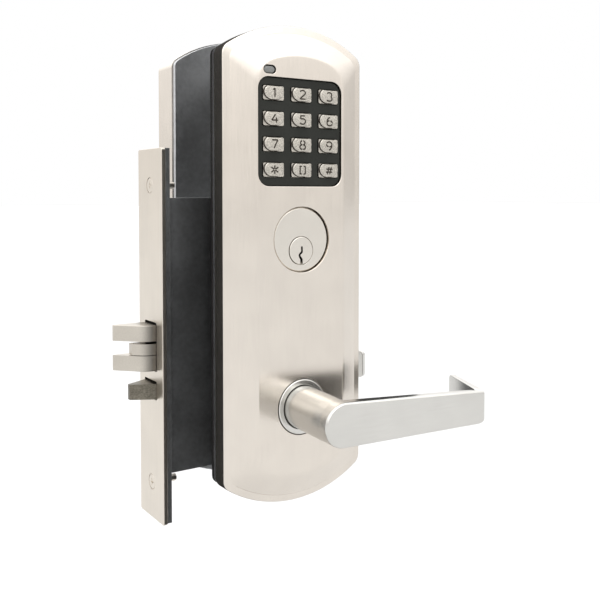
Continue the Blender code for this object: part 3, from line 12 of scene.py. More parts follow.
import bmesh
import bpy
import numpy as np
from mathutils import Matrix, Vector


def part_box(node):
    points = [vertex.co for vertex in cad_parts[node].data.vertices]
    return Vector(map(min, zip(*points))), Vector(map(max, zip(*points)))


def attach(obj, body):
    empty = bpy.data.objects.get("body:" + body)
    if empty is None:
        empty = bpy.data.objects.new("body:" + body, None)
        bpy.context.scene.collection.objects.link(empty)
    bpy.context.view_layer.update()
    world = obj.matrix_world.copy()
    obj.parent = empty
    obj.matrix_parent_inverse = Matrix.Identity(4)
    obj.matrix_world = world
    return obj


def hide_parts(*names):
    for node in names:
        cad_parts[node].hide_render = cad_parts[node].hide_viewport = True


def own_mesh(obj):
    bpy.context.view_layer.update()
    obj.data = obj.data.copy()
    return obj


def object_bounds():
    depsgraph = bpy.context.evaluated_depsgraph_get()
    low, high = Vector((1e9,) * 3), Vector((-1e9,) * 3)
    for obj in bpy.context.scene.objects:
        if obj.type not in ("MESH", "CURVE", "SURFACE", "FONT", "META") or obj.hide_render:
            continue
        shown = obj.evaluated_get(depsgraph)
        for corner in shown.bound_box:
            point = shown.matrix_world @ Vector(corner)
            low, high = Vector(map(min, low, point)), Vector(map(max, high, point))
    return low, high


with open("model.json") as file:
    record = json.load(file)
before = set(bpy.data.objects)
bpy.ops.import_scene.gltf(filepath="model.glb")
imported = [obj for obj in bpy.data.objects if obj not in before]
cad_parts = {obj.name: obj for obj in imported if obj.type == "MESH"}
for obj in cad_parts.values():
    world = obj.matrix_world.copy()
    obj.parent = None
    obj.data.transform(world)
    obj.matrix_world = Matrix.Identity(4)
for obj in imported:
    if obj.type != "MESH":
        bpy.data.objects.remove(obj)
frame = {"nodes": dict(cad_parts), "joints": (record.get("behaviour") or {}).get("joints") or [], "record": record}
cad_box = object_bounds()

MM = 0.001
record = frame["record"]
slot_of = {part["node"]: part["material_slot"] for part in record["subparts"]}
body_of = {node: body for body, nodes in record["behaviour"]["bodies"].items() for node in nodes}

# %% [markdown]
# ## Putting a surface into a mesh
# Most parts of a lock are turned, cast or stamped. All three are the same thing to a mesh: an
# outline carried along a path, one ring after another. Each ring is a numpy array, the rings are
# joined with four-sided faces, and the ends are capped. Modelling by hand would give the same
# faces, but a formula keeps every radius and clearance exact.

# %% Rings, caps and finished pieces
def ring_faces(rows, points, closed=False):
    """Quads between rings. Point j of ring i meets point j + 1 and the same two of ring i + 1."""
    i, j = np.meshgrid(np.arange(rows if closed else rows - 1), np.arange(points), indexing="ij")
    near, far, turn = i * points, (i + 1) % rows * points, (j + 1) % points
    return np.stack([near + j, near + turn, far + turn, far + j], -1).reshape(-1, 4).tolist()


def placed(name, data):
    """An object with this mesh, lamp or camera, in the scene."""
    obj = bpy.data.objects.new(name, data)
    bpy.context.scene.collection.objects.link(obj)
    return obj


def solid(name, rings, closed=False, faces=()):
    """A closed body from an array of rings, shaped (rings, points, 3). Its ends are capped with
    one face each, unless the rings close on themselves or other end faces are given."""
    rows, points = rings.shape[:2]
    quads = ring_faces(rows, points, closed) + list(faces)
    if not closed and not len(faces):
        quads += [list(range(points)), list(range((rows - 1) * points, rows * points))]
    data = bpy.data.meshes.new(name)
    data.from_pydata((rings.reshape(-1, 3) * MM).tolist(), [], quads)
    mesh = bmesh.new()
    mesh.from_mesh(data)
    bmesh.ops.remove_doubles(mesh, verts=mesh.verts, dist=1e-7)
    bmesh.ops.recalc_face_normals(mesh, faces=mesh.faces)
    mesh.to_mesh(data)
    mesh.free()
    return placed(name, data)


def shape(obj, other, operation="DIFFERENCE"):
    """Cuts a piece with another solid, or joins the two. The other solid is then thrown away."""
    modifier = obj.modifiers.new("shape", "BOOLEAN")
    modifier.operation, modifier.object, modifier.solver = operation, other, "EXACT"
    done = obj.evaluated_get(bpy.context.evaluated_depsgraph_get())
    data = bpy.data.meshes.new_from_object(done)
    obj.modifiers.clear()
    obj.data = data
    bpy.data.objects.remove(other)


def finish(obj, node, smooth, stands_for=True):
    """Shades a piece, with sharp edges over so many degrees, gives it its node's body, and hides the
    node. Normals are weighted by area, so that a large flat face stays flat right up to its rounded
    edge."""
    obj.data.shade_smooth()
    obj.data.set_sharp_from_angle(angle=math.radians(smooth))
    obj.modifiers.new("normals", "WEIGHTED_NORMAL").keep_sharp = True
    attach(obj, body_of[node])
    if stands_for:
        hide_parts(node)
    print(obj.name, len(obj.data.polygons), "faces on", body_of[node])
    return obj

# %% [markdown]
# ## Outlines
# A rounded rectangle describes the keypad window, a key, a slot and, with its corner as large as
# its half width, a circle. Spreading its points evenly by length keeps the faces similar in size.
# Cast and stamped edges are never sharp: a small radius catches the light and draws a thin bright
# line round each part, so every outline here can be moved inwards a little at its two faces.

# %% Outlines and eased edges
def unit(v):
    return v / np.linalg.norm(v, axis=-1, keepdims=True)


def lengths(path):
    """Each point's distance along a path from its start."""
    return np.r_[0, np.cumsum(np.linalg.norm(np.diff(path, axis=0), axis=1))]


def points_at(path, distance):
    """Places on a path at some distances from its start."""
    return np.stack([np.interp(distance, lengths(path), path[:, k]) for k in (0, 1)], 1)


def even(loop, count):
    """The same closed loop with its points spread evenly by length."""
    closed = np.vstack([loop, loop[:1]])
    return points_at(closed, np.linspace(0, lengths(closed)[-1], count, endpoint=False))


def sideways(path, reach):
    """From each point of a path to its left, by a reach for each point."""
    way = unit(np.gradient(path, axis=0))
    return np.stack([-way[:, 1], way[:, 0]], 1) * reach[:, None]


def polar(radius, turn):
    """Points at some angles. The radius is one number, or one for each axis."""
    return np.stack([np.cos(turn), np.sin(turn)], 1) * radius


def rounded(centre, width, height, radius, count=160):
    """Rectangle with a quarter circle at each corner, anticlockwise from the right."""
    turn = np.radians(np.linspace(0, 90, 13)[None, :] + np.array([0, 90, 180, 270])[:, None])
    sx, sz = np.array([1, -1, -1, 1]), np.array([1, 1, -1, -1])
    x = centre[0] + sx[:, None] * (width / 2 - radius) + radius * np.cos(turn)
    z = centre[1] + sz[:, None] * (height / 2 - radius) + radius * np.sin(turn)
    return even(np.stack([x.ravel(), z.ravel()], 1), count)


def disc(centre, diameter, count=96):
    """Points of a circle at equal angles."""
    turn = np.linspace(0, math.tau, count, endpoint=False)
    return polar(diameter / 2, turn) + centre


def moved_in(loop, inset):
    """An anticlockwise loop moved inwards. Each point goes along the middle of its two edges'
    normals, divided by the cosine of half the turn, so every edge moves by the same amount."""
    edge = unit(np.roll(loop, -1, 0) - loop)
    normal = np.stack([-edge[:, 1], edge[:, 0]], 1)
    before = np.roll(normal, 1, 0)
    return loop + inset * (normal + before) / (1 + (normal * before).sum(1, keepdims=True))


def counter(loop):
    """The loop turned anticlockwise: the sign of its area says which way it runs."""
    x, y = loop[:, 0], loop[:, 1]
    area = (x * np.roll(y, -1) - np.roll(x, -1) * y).sum()
    return loop if area > 0 else loop[::-1]


def lay(loop, axis, place):
    """Ring of 3-D points: a flat loop across an axis at a place along it."""
    flat = [loop[:, 0], loop[:, 1]]
    flat.insert("XYZ".index(axis), np.full(len(loop), float(place)))
    return np.stack(flat, 1)


def eased(corners, radii, steps=7):
    """A path whose inner corners are rounded. Each arc starts and ends at its radius times the
    tangent of half the turn from the corner, so that it runs smoothly into both legs."""
    path = np.asarray(corners, float)
    at, radius = path[1:-1], np.broadcast_to(radii, len(path) - 2)[:, None]
    one, two = unit(path[:-2] - at), unit(path[2:] - at)
    half = np.arccos(np.clip((one * two).sum(1, keepdims=True), -1, 1)) / 2
    centre = at + unit(one + two) * radius / np.sin(half)
    start = at + one * radius / np.tan(half) - centre
    way = -np.sign(one[:, :1] * two[:, 1:] - one[:, 1:] * two[:, :1])
    turn = (way * (math.pi - 2 * half)) * np.linspace(0, 1, steps)[None, :]
    x = start[:, :1] * np.cos(turn) - start[:, 1:] * np.sin(turn)
    y = start[:, :1] * np.sin(turn) + start[:, 1:] * np.cos(turn)
    arcs = np.stack([centre[:, :1] + x, centre[:, 1:] + y], -1).reshape(-1, 2)
    return np.vstack([path[:1], arcs, path[-1:]])

# %% Slabs, turned parts and cutters
def stacked(name, loop, axis, steps):
    """An outline at several places along an axis, from pairs of inset and place."""
    return solid(name, np.array([lay(moved_in(loop, inset), axis, place) for inset, place in steps]))


def slab(name, loop, axis, low, high, ease=0.3, steps=5):
    """An outline carried straight along an axis, its edges at both faces rounded to a quarter
    circle: at angle t the outline stands in by ease (1 - sin t) at a depth of ease (1 - cos t)."""
    t = np.linspace(0, math.pi / 2, steps)
    inset, depth = ease * (1 - np.sin(t)), ease * (1 - np.cos(t))
    place = np.r_[low + depth, (high - depth)[::-1]]
    return stacked(name, loop, axis, zip(np.r_[inset, inset[::-1]], place))


def turned(name, profile, axis, centre, count=96, closed=False):
    """A profile of (radius, place along the axis), turned about the axis."""
    rings = [lay(disc(centre, 2 * radius, count), axis, place) for radius, place in profile]
    return solid(name, np.array(rings), closed)


def block(name, low, high):
    """A plain box, used only to cut or to join."""
    low, high = np.array(low, float), np.array(high, float)
    loop = np.array([[low[0], low[1]], [high[0], low[1]], [high[0], high[1]], [low[0], high[1]]])
    return stacked(name, loop, "Z", ((0, low[2]), (0, high[2])))


def bar(axis, centre, diameter, low, high, count=48):
    """A plain round bar along an axis, used only to cut or to join."""
    return stacked("bar", disc(centre, diameter, count), axis, ((0, low), (0, high)))


def opening(loop, axis, face, way, depth, ease, steps=6):
    """Cutter for a hole whose rim is rounded: near the face the loop grows by ease (1 - cos t)
    while it rises by ease (sin t - 1), and it goes on past the face. way is the way out."""
    t = np.linspace(0, math.pi / 2, steps)
    grow, rise = np.r_[0, ease * (1 - np.cos(t)), ease], np.r_[-depth, ease * (np.sin(t) - 1), 1]
    return stacked("cutter", loop, axis, zip(-grow, face + way * rise))

# %% [markdown]
# ## Materials as sums
# Nearly everything here is satin metal. Real satin is thousands of fine scratches, so each metal
# has a noise stretched along its brushing, in its roughness, its tone and a bump of a few
# thousandths of a millimetre. A node tree is hard to read, so a small class wraps a socket, and
# the tree is written as ordinary sums.

# %% A socket that can be added and multiplied
class Wire:
    """One output of a node tree. Sums and products with it add Math nodes."""

    def __init__(self, tree, socket):
        self.tree, self.socket = tree, socket

    def add(self, kind, inputs=(), output=0, **settings):
        """Adds any other node, with the value or link of each socket."""
        node = self.tree.nodes.new("ShaderNode" + kind)
        for name, value in settings.items():
            setattr(node, name, value)
        for key, value in dict(inputs).items():
            if isinstance(value, Wire):
                self.tree.links.new(value.socket, node.inputs[key])
            else:
                node.inputs[key].default_value = value
        return Wire(self.tree, node.outputs[output]) if node.outputs else node

    def math(self, operation, *values):
        return self.add("Math", enumerate(values), operation=operation)

    def __add__(self, other):
        return self.math("ADD", self, other)

    def __sub__(self, other):
        return self.math("SUBTRACT", self, other)

    def __rsub__(self, other):
        return self.math("SUBTRACT", other, self)

    def __mul__(self, other):
        return self.math("MULTIPLY", self, other)

    __radd__, __rmul__ = __add__, __mul__

    def between(self, low, high):
        """0 where the value is under low, 1 where it is over high, and a smooth rise between."""
        sockets = {"Value": self, "From Min": low, "From Max": high}
        return self.add("MapRange", sockets, interpolation_type="SMOOTHSTEP")

    def colours(self, none, full):
        """One colour where the value is 0 and another where it is 1."""
        return self.add("Mix", {0: self, 6: (*none, 1), 7: (*full, 1)}, 2, data_type="RGBA")

    def times(self, vector):
        """A vector multiplied by a vector."""
        return self.add("VectorMath", {0: self, 1: vector}, operation="MULTIPLY")

    def part(self, axis):
        """One number of a vector: its X, Y or Z."""
        return self.add("SeparateXYZ", {"Vector": self}, axis)

    def noise(self, scale, detail=2.0, roughness=0.5):
        """Noise that takes this vector as its place, with so many waves to a metre along each axis."""
        sockets = {"Vector": self.times(scale), "Scale": 1.0, "Detail": detail, "Roughness": roughness}
        return self.add("TexNoise", sockets)


def emptied(owner, coordinates):
    """Clears the nodes of a material or a world, and starts a wire with its coordinates."""
    owner.use_nodes = True
    owner.node_tree.nodes.clear()
    return Wire(owner.node_tree, None).add("TexCoord", output=coordinates)


materials = {}


def new_material(name):
    """Adds an empty material to the table, and starts a wire with a point's place on the piece in
    metres."""
    materials[name] = bpy.data.materials.new(name)
    return emptied(materials[name], "Object")


def surface(place, colour, roughness, height=None, lift=0.0, **others):
    """Principled shader with a bump of a given lift in metres, wired to the output."""
    sockets = {"Base Color": colour, "Roughness": roughness, **others}
    if height is not None:
        sockets["Normal"] = place.add("Bump", {"Height": height, "Distance": lift, "Strength": 1.0})
    place.add("OutputMaterial", {"Surface": place.add("BsdfPrincipled", sockets)})

# %% [markdown]
# ## Metals
# One function makes every metal. The scratches run along one axis: down the trims and the
# faceplate, along the levers and the guard bolt. A second, larger noise gives the slow change of
# tone that handling and polishing leave. Cast parts have no direction, so their noise is even.

# %% The metals
def evenly(waves):
    """As many waves to a metre along each axis."""
    return (waves, waves, waves)


def metal(name, colour, rough, scratch, lift, mottle=0.03, spread=0.05, shaded_from=None):
    """Metal whose fine scratches have (x, y, z) waves to a metre, given as scratch. With
    shaded_from, its tone falls smoothly to a third over the 7 mm of x from there on: painted shade
    towards the faceplate, where the part goes into the lock."""
    place = new_material(name)
    fine = place.noise(scratch, 3.0, 0.6)
    slow = place.noise(evenly(45), 2.0)
    shade = (fine * 0.5 + slow * 0.5).between(0.3, 0.7)
    dull = tuple(c * (1 - 2 * mottle) for c in colour)
    tone = shade.colours(dull, tuple(min(1, c * (1 + mottle)) for c in colour))
    if shaded_from is not None:
        # Painted shade: darker towards the faceplate, by up to two thirds of the tone.
        painted_shade = 1 - place.part("X").between(shaded_from, shaded_from + 0.007) * 0.67
        tone = tone.times(painted_shade.add("CombineXYZ", {"X": painted_shade, "Y": painted_shade, "Z": painted_shade}))
    surface(place, tone, rough + (fine - 0.5) * spread + (slow - 0.5) * spread, fine, lift, Metallic=1.0)


WARM = (0.655, 0.607, 0.550)
metal("satin_trim", WARM, 0.20, (2600, 2600, 60), 2e-6)
metal("satin_lever", (0.585, 0.576, 0.550), 0.24, (90, 2200, 2200), 2e-6)
metal("satin_cylinder", (0.635, 0.603, 0.553), 0.24, (2400, 2400, 400), 2e-6)
metal("satin_faceplate", (0.66, 0.61, 0.54), 0.30, (2600, 2600, 40), 3e-6)
# The latch gets painted shade towards its root at the faceplate.
metal("cast_latch", (0.53, 0.495, 0.44), 0.34, evenly(1500), 6e-6, 0.05, 0.1, shaded_from=-0.0790)
metal("dull_steel", (0.175, 0.16, 0.13), 0.40, (120, 1800, 1800), 1e-5, 0.3, 0.15)
metal("zinc_steel", (0.56, 0.57, 0.58), 0.40, evenly(420), 4e-6, 0.08, 0.12)
metal("spring_steel", (0.42, 0.43, 0.45), 0.30, evenly(900), 2e-6, 0.06, 0.1)
metal("brass", (0.76, 0.58, 0.27), 0.30, evenly(700), 3e-6, 0.07, 0.1)
print(len(materials), "metals")

# %% [markdown]
# ## Key metal, plastics and rubber
# The keys are cast with a coarse sparkle: a cell pattern of about a third of a millimetre that is
# lighter and darker, as well as higher and lower. Plastic has a fine moulded texture, and rubber
# the same but duller. Printed and dark parts differ in colour more than in texture.

# %% The rest of the finishes
def sparkle(name, colour, dark, rough):
    """Cast metal with a coarse grain: cells and noise together make its tone and its height."""
    place = new_material(name)
    cells = place.add("TexVoronoi", {"Vector": place, "Scale": 2600.0}, "Distance")
    grain = (cells * 0.7 + place.noise(evenly(3400), 3.0, 0.7) * 0.7).between(0.25, 0.95)
    surface(place, grain.colours(dark, colour), 0.5 - grain * (0.5 - rough), grain, 2.5e-5, Metallic=1.0)


def moulded(name, colour, light, rough, scale=900.0, lift=1e-5, **others):
    """Moulded plastic or rubber: fine noise for its texture, and slow noise for its tone."""
    place = new_material(name)
    fine = place.noise(evenly(scale), 3.0, 0.6)
    slow = place.noise(evenly(60), 2.0)
    tone = (fine * 0.4 + slow * 0.6).between(0.3, 0.7).colours(colour, light)
    surface(place, tone, rough + (fine - 0.5) * 0.12, fine, lift, **others)


def circuit(name):
    """Green solder mask with straight copper tracks: the tracks are where a folded place along
    the board is near the edge of its cell, so they cross the board as a net of fine lines."""
    place = new_material(name)
    cells = place.times(evenly(420))
    x, z = cells.part("X"), cells.part("Z")
    across = x.math("PINGPONG", x + place.noise(evenly(60)) * 2, 0.5).between(0.40, 0.46)
    up = z.math("PINGPONG", z + place.noise(evenly(50)) * 2, 0.5).between(0.42, 0.47)
    track = across.math("MAXIMUM", across, up)
    tone = track.colours((0.012, 0.10, 0.035), (0.03, 0.19, 0.07))
    surface(place, tone, 0.38 - track * 0.08, track, 2e-5)


def sleeve(name):
    """Printed battery sleeve: dark, with a copper-coloured band over one end of the cells."""
    place = new_material(name)
    band = place.part("Z").between(0.1485, 0.1490) * 0.9 + place.noise(evenly(90)) * 0.1
    tone = band.colours((0.02, 0.022, 0.03), (0.55, 0.30, 0.12))
    rough = 0.28 + place.noise(evenly(400)) * 0.08
    surface(place, tone, rough, place.noise(evenly(500)), 4e-6)


MATT = {"Specular IOR Level": 0.15}
sparkle("satin_key", (0.60, 0.568, 0.51), (0.09, 0.085, 0.075), 0.28)
moulded("charcoal_plastic", (0.014, 0.0148, 0.0125), (0.020, 0.021, 0.018), 0.5, **MATT)
moulded("black_rubber", (0.009, 0.009, 0.009), (0.015, 0.015, 0.015), 0.75, **MATT)
moulded("smoked_lens", (0.10, 0.103, 0.10), (0.17, 0.172, 0.165), 0.22, lift=2e-6)
moulded("grey_plastic", (0.17, 0.175, 0.18), (0.22, 0.225, 0.23), 0.5)
circuit("green_board")
sleeve("battery_sleeve")
# The characters' dark ink; the keys' cushion walls also wear it as painted shade.
moulded("ink_and_painted_shade", (0.022, 0.017, 0.013), (0.034, 0.027, 0.021), 0.55, **MATT)


def dress(obj, slot):
    """Gives a piece or a node one material on all its faces."""
    obj.data.materials.clear()
    obj.data.materials.append(materials[slot])
    obj.data.polygons.foreach_set("material_index", np.zeros(len(obj.data.polygons), np.int32))


def complete(obj, node, smooth):
    """Dresses a piece in the finish of its node's slot, and finishes it."""
    dress(obj, slot_of[node])
    return finish(obj, node, smooth)


for node, obj in frame["nodes"].items():
    if obj.material_slots:
        obj.material_slots[0].material = materials[slot_of[node]]
    else:
        obj.data.materials.append(materials[slot_of[node]])
print(sorted(materials))

# %% [markdown]
# ## The outside escutcheon
# On the real lock this is a shallow casting: straight sides, an arc at each end, a narrow rim, and
# a bevel that climbs to a flat face. Its section is one profile of inset and height, and its plan
# is one outline that can be moved in. Carrying the profile round the outline makes rim, bevel and
# face at once. The corners get rounder towards the face, which gives a polished casting's soft
# mitres. A subdivided cage could give the softness too, but not the exact arcs.

# %% Outline and shell of a trim
END_ARC = 74.5          # radius of the trim's top and bottom
CORNER = 6.5            # radius of its four corners at the door
CORNER_GROWTH = 0.5     # and how much they grow for each millimetre towards the face
WALL = 2.5
RIDGE = 5.0             # radius where the bevel meets the face


def corners_of(node):
    """The low and high corner of a node's box, in millimetres."""
    low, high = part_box(node)
    return np.array(low) / MM, np.array(high) / MM


def middle(node, *axes):
    """The middle of a node's box, along some of the axes."""
    low, high = corners_of(node)
    return tuple((low[k] + high[k]) / 2 for k in axes)


def front_view(node, lip=0):
    """A node's middle and size seen from the front, less a lip round it, and its front and back."""
    low, high = corners_of(node)
    size = high - low - 2 * lip
    return middle(node, 0, 2), (size[0], size[2]), low[1], high[1]


def trim_outline(node, inset, side=40, corner=10, end=44):
    """The outline at an inset: corner arcs tangent to the straight sides and to the end arcs. The
    corner's centre is where a circle inside the end arc meets the line beside the straight side."""
    low, high = corners_of(node)
    half, radius, small = high[0] - inset, END_ARC - inset, CORNER + CORNER_GROWTH * inset
    rise = math.sqrt((radius - small) ** 2 - (half - small) ** 2)
    turn = math.atan2(rise, half - small)
    end_z, mid_z = high[2] - END_ARC, (high[2] + low[2]) / 2
    a = np.linspace(0, turn, corner)
    b = np.linspace(turn, math.pi - turn, end)[1:-1]
    right = polar(small, a) + (half - small, end_z + rise)
    top = polar(radius, b) + (0, end_z)
    up = np.linspace(2 * mid_z - right[0, 1], right[0, 1], side)[1:-1]
    flank = np.stack([np.full(len(up), half), up], 1)
    upper = np.vstack([flank, right, top, right[::-1] * (-1, 1)])
    return np.vstack([upper, (0, 2 * mid_z) - upper])


def trim_shell(node, base, way, profile, radii):
    """The outline carried along an eased profile of (inset, height), and back inside the wall. The
    last three points of the profile are the rim's inner edge, the bevel's top and the flat face."""
    path = eased(profile, radii)
    (rim, rim_height), flat = profile[-3], profile[-2][0]
    bevel = math.atan2(path[-1, 1] - rim_height, flat - rim)
    shift, rise = WALL * math.tan(bevel / 2), rim_height - profile[1][1]
    inner = [(WALL, profile[0][1]), (WALL, rim_height - WALL - rise),
             (max(rim + shift, WALL + 0.6), rim_height - WALL), (flat + shift, path[-1, 1] - WALL)]
    rings = [lay(trim_outline(node, i), "Y", base + way * h) for i, h in [*path[::-1], *inner]]
    return solid(node + "_shell", np.array(rings))


low, high = corners_of("outside_escutcheon")
FACE, DOOR_SIDE = low[1], high[1]
depth = DOOR_SIDE - FACE
profile = [(0, 0), (0, depth - 7.31), (3.9, depth - 6.85), (4.15, depth - 6.5), (16.6, depth),
           (19.6, depth)]
outside = trim_shell("outside_escutcheon", DOOR_SIDE, -1, profile, (0.7, 0.12, 0.12, RIDGE))
print("outside shell", len(outside.data.vertices), "vertices, face at", round(FACE, 2))

# %% [markdown]
# ## Openings in the trim
# The keypad window, the slot for the light, the bore for the key cylinder and the hole for the
# rose are machined after casting and then broken at the edge. Each is cut with a solid whose
# sides flare in a quarter circle at the face. The flare leaves a rounded rim, which is the thin
# bright line round every opening. A bevel after the cut would have to find those edges first.

# %% Cut the outside trim
LIP = 0.6               # flange of the panel behind the face
GAP = 0.3
PANEL, PANEL_SIZE, PANEL_FRONT, PANEL_BACK = front_view("keypad_panel", LIP)
PANEL_RADIUS = 6.3
LENS, (lens_width, lens_height), LENS_FRONT, LENS_BACK = front_view("led_lens")
LENS_SIZE = (lens_width - 3.0, lens_height)     # without its lip at each end
LENS_SLOT = (LENS_SIZE[0] + 0.4, LENS_SIZE[1] + 0.4)
LENS_SHY = 0.2          # how much smaller the light's visible part is on each side
CYLINDER, (HEAD, _), HEAD_FRONT, BARREL_BACK = front_view("cylinder_body")
ROSE, _ = front_view("outside_rose", 2.8)[1]    # without the lip that holds it behind the face


def opening_in_face(target, face, way, loop, depth, ease):
    """Cuts an opening with a rounded rim into a face that looks along Y."""
    shape(target, opening(loop, "Y", face, way, depth, ease))


SEAT, SEAT_BORE = HEAD / 2 + 3.2, 15.2      # radii of the ring behind the face that holds the cylinder
seat = [(SEAT, FACE + 1.2), (SEAT, FACE + 9.3), (SEAT_BORE, FACE + 9.3), (SEAT_BORE, FACE + 1.2)]
shape(outside, turned("seat", seat, "Y", CYLINDER, closed=True), "UNION")
window = rounded(PANEL, PANEL_SIZE[0] + 2 * GAP, PANEL_SIZE[1] + 2 * GAP, PANEL_RADIUS + GAP)
opening_in_face(outside, FACE, -1, window, WALL + 1, 0.45)
opening_in_face(outside, FACE, -1, rounded(LENS, *LENS_SLOT, LENS_SLOT[1] / 2, 64), WALL + 1, 0.2)
opening_in_face(outside, FACE, -1, disc(CYLINDER, HEAD + 0.7, 128), 5.3, 0.3)
opening_in_face(outside, FACE, -1, disc((0, 0), ROSE + 0.7, 128), WALL + 1, 0.25)
outside.name = "escutcheon_outside"
complete(outside, "outside_escutcheon", 35)

# %% [markdown]
# ## The keypad panel and the light
# The panel is a dark moulding that fills the window a little below the face, with an opening for
# each key. The light above it is a smoked moulding in a slot with round ends. Both are slabs with
# eased edges. The key openings are cut through the panel with a small round at the front.

# %% Keypad panel and lens
KEYS = ["1", "2", "3", "4", "5", "6", "7", "8", "9", "star", "0", "hash"]
FLANGE = 1.0            # flange of a key behind the panel
FLANGE_DEPTH = 0.9

panel = slab("panel", rounded(PANEL, *PANEL_SIZE, PANEL_RADIUS), "Y", PANEL_FRONT, PANEL_BACK, 0.35)
back = rounded(PANEL, PANEL_SIZE[0] + 2 * LIP, PANEL_SIZE[1] + 2 * LIP, PANEL_RADIUS + LIP)
shape(panel, slab("flange", back, "Y", PANEL_BACK - 2, PANEL_BACK, 0.1), "UNION")
for name in KEYS:
    centre, (width, height), *_ = front_view("key_" + name, FLANGE)
    hole = rounded(centre, width + 0.7, height + 0.7, 1.25, 80)
    opening_in_face(panel, PANEL_FRONT, -1, hole, 6, 0.25)
panel.name = "keypad_front"
complete(panel, "keypad_panel", 35)

lens_profile = eased([(LENS_BACK, 0), (LENS_FRONT + 0.1, 0), (LENS_FRONT - 0.1, 1.9)], 1.0, 8)
lens_loop = rounded(LENS, *LENS_SIZE, LENS_SIZE[1] / 2, 64)
lens = stacked("status_light", lens_loop, "Y", [(i + LENS_SHY, y) for y, i in lens_profile])
complete(lens, "led_lens", 50)

# %% [markdown]
# ## The keys
# A key is a cast block with a low oval cushion on it. The cushion is wider than the key is tall,
# so the block's upper and lower edges cut it off. Seen in rings, that is easy: along each ray from
# the middle, the cushion ends where the oval or the block ends, whichever is nearer. The rings
# then climb the cushion's side, round its edge and close over a slight dome. The side gets the
# same dark material as the characters' ink, as painted shade under the cushion's edge, so its
# ring of faces gets a second material.

# %% Keys
OVAL = (6.35, 4.5)      # half width and half height of the cushion's oval
OVAL_UP = 0.5           # and how far its middle is above the key's middle
CUSHION = 1.0           # height of the cushion
DOME = 0.25             # further rise at its middle
KEY_POINTS = 120        # points round a key


def cushion_height(x, z):
    """Height of the dome above the cushion's edge: DOME (1 - (x/a)^2 - (z/b)^2) inside the oval."""
    return DOME * np.clip(1 - (x / OVAL[0]) ** 2 - ((z - OVAL_UP) / OVAL[1]) ** 2, 0, 1)


def key_rings(centre, width, height, front, back):
    block_loop = rounded((0, 0), width, height, 0.9, KEY_POINTS)
    ray, reach = unit(block_loop), np.linalg.norm(moved_in(block_loop, 0.04), axis=1)
    across, up = ray[:, 0] / OVAL[0], ray[:, 1] / OVAL[1]
    square, back_step = across ** 2 + up ** 2, up * OVAL_UP / OVAL[1]
    oval = (back_step + np.sqrt(back_step ** 2 + square * (1 - (OVAL_UP / OVAL[1]) ** 2))) / square
    edge = ray * np.minimum(oval, reach)[:, None]
    shoulder = front + DOME + CUSHION
    outer = [(block_loop, back), (block_loop, shoulder + 0.2), (moved_in(block_loop, 0.02), shoulder)]
    scale = np.array([1, 0.955, 0.935, 0.91, 0.84, 0.7, 0.5, 0.3, 0.1])
    drop = np.array([CUSHION, 0.16, 0.04, 0, 0, 0, 0, 0, 0])
    rings = [lay(loop, "Y", y) for loop, y in outer]
    for s, d in zip(scale, drop):
        ring = lay(edge * s, "Y", front + DOME + d)
        if d == 0:
            ring[:, 1] -= cushion_height(ring[:, 0], ring[:, 2])
        rings.append(ring)
    return np.array(rings) + (centre[0], 0, centre[1])


# %% [markdown]
# ## Key marks
# The characters are engraved and filled with dark ink. Each one is a few strokes in a cell 4.2 mm
# wide and 4.9 mm high, drawn from straight lines and parts of ovals, with small breaks where the
# real cutter lifts. A stroke is a thin ribbon that follows the dome and stands 0.02 mm above it,
# so the ink keeps a crisp edge without cutting the key's mesh into slivers.

# %% Strokes of the characters
def line(*points):
    return np.array(points, float)


def bow(x, z, width, height, start, end, count=15):
    """Part of an oval from one angle to another, in degrees."""
    return polar((width, height), np.radians(np.linspace(start, end, count))) + (x, z)


MARKS = {
    "1": [line((-0.75, 1.35), (0.1, 2.2), (0.1, -2.2))],
    "2": [np.vstack([bow(0, 1.0, 1.25, 1.2, 160, -30), line((-1.3, -2.15))]),
          line((-1.3, -2.15), (1.35, -2.15))],
    "3": [bow(-0.1, 1.05, 1.2, 1.1, 150, -60), bow(-0.1, -1.05, 1.35, 1.15, 60, -150)],
    "4": [line((0.75, -2.2), (0.75, 0.55)), line((0.35, 2.2), (-1.25, -0.85), (1.5, -0.85))],
    "5": [line((1.15, 2.1), (-0.85, 2.1), (-1.0, 0.3)), bow(-0.05, -0.75, 1.35, 1.4, 130, -150)],
    "6": [bow(0.1, -0.9, 1.3, 1.3, 90, 342), bow(0.1, -0.9, 1.3, 1.3, -6, 78),
          bow(1.0, -0.6, 2.25, 2.9, 108, 172)],
    "7": [line((-1.3, 2.1), (1.3, 2.1), (-0.35, -2.2))],
    "8": [bow(0, *oval, *turn) for oval in ((1.15, 1.05, 1.05), (-1.05, 1.3, 1.2))
          for turn in ((98, 262), (-82, 82))],
    "0": [line((x * 0.35, 2.0), (x * 1.2, 1.9), (x * 1.2, -1.9), (x * 0.35, -2.0)) for x in (-1, 1)],
    "star": [line((0, z * 0.3), (0, z * 2.25)) for z in (1, -1)]
            + [line((x * 0.25, z * 0.15), (x * 1.6, z * 1.35)) for x in (-1, 1) for z in (1, -1)],
    "hash": [line((-0.15, 2.0), (-0.95, -2.0)), line((0.95, 2.0), (0.15, -2.0)),
             line((-1.5, 0.75), (1.6, 0.75)), line((-1.7, -0.75), (1.4, -0.75))],
}
MARKS["9"] = [-stroke for stroke in MARKS["6"]]     # a nine is a six turned half round
STROKE = 0.8            # width of a stroke
SPREAD = (1.4, 1.06)    # stretches the 3 mm by 4.6 mm that the strokes above are drawn in


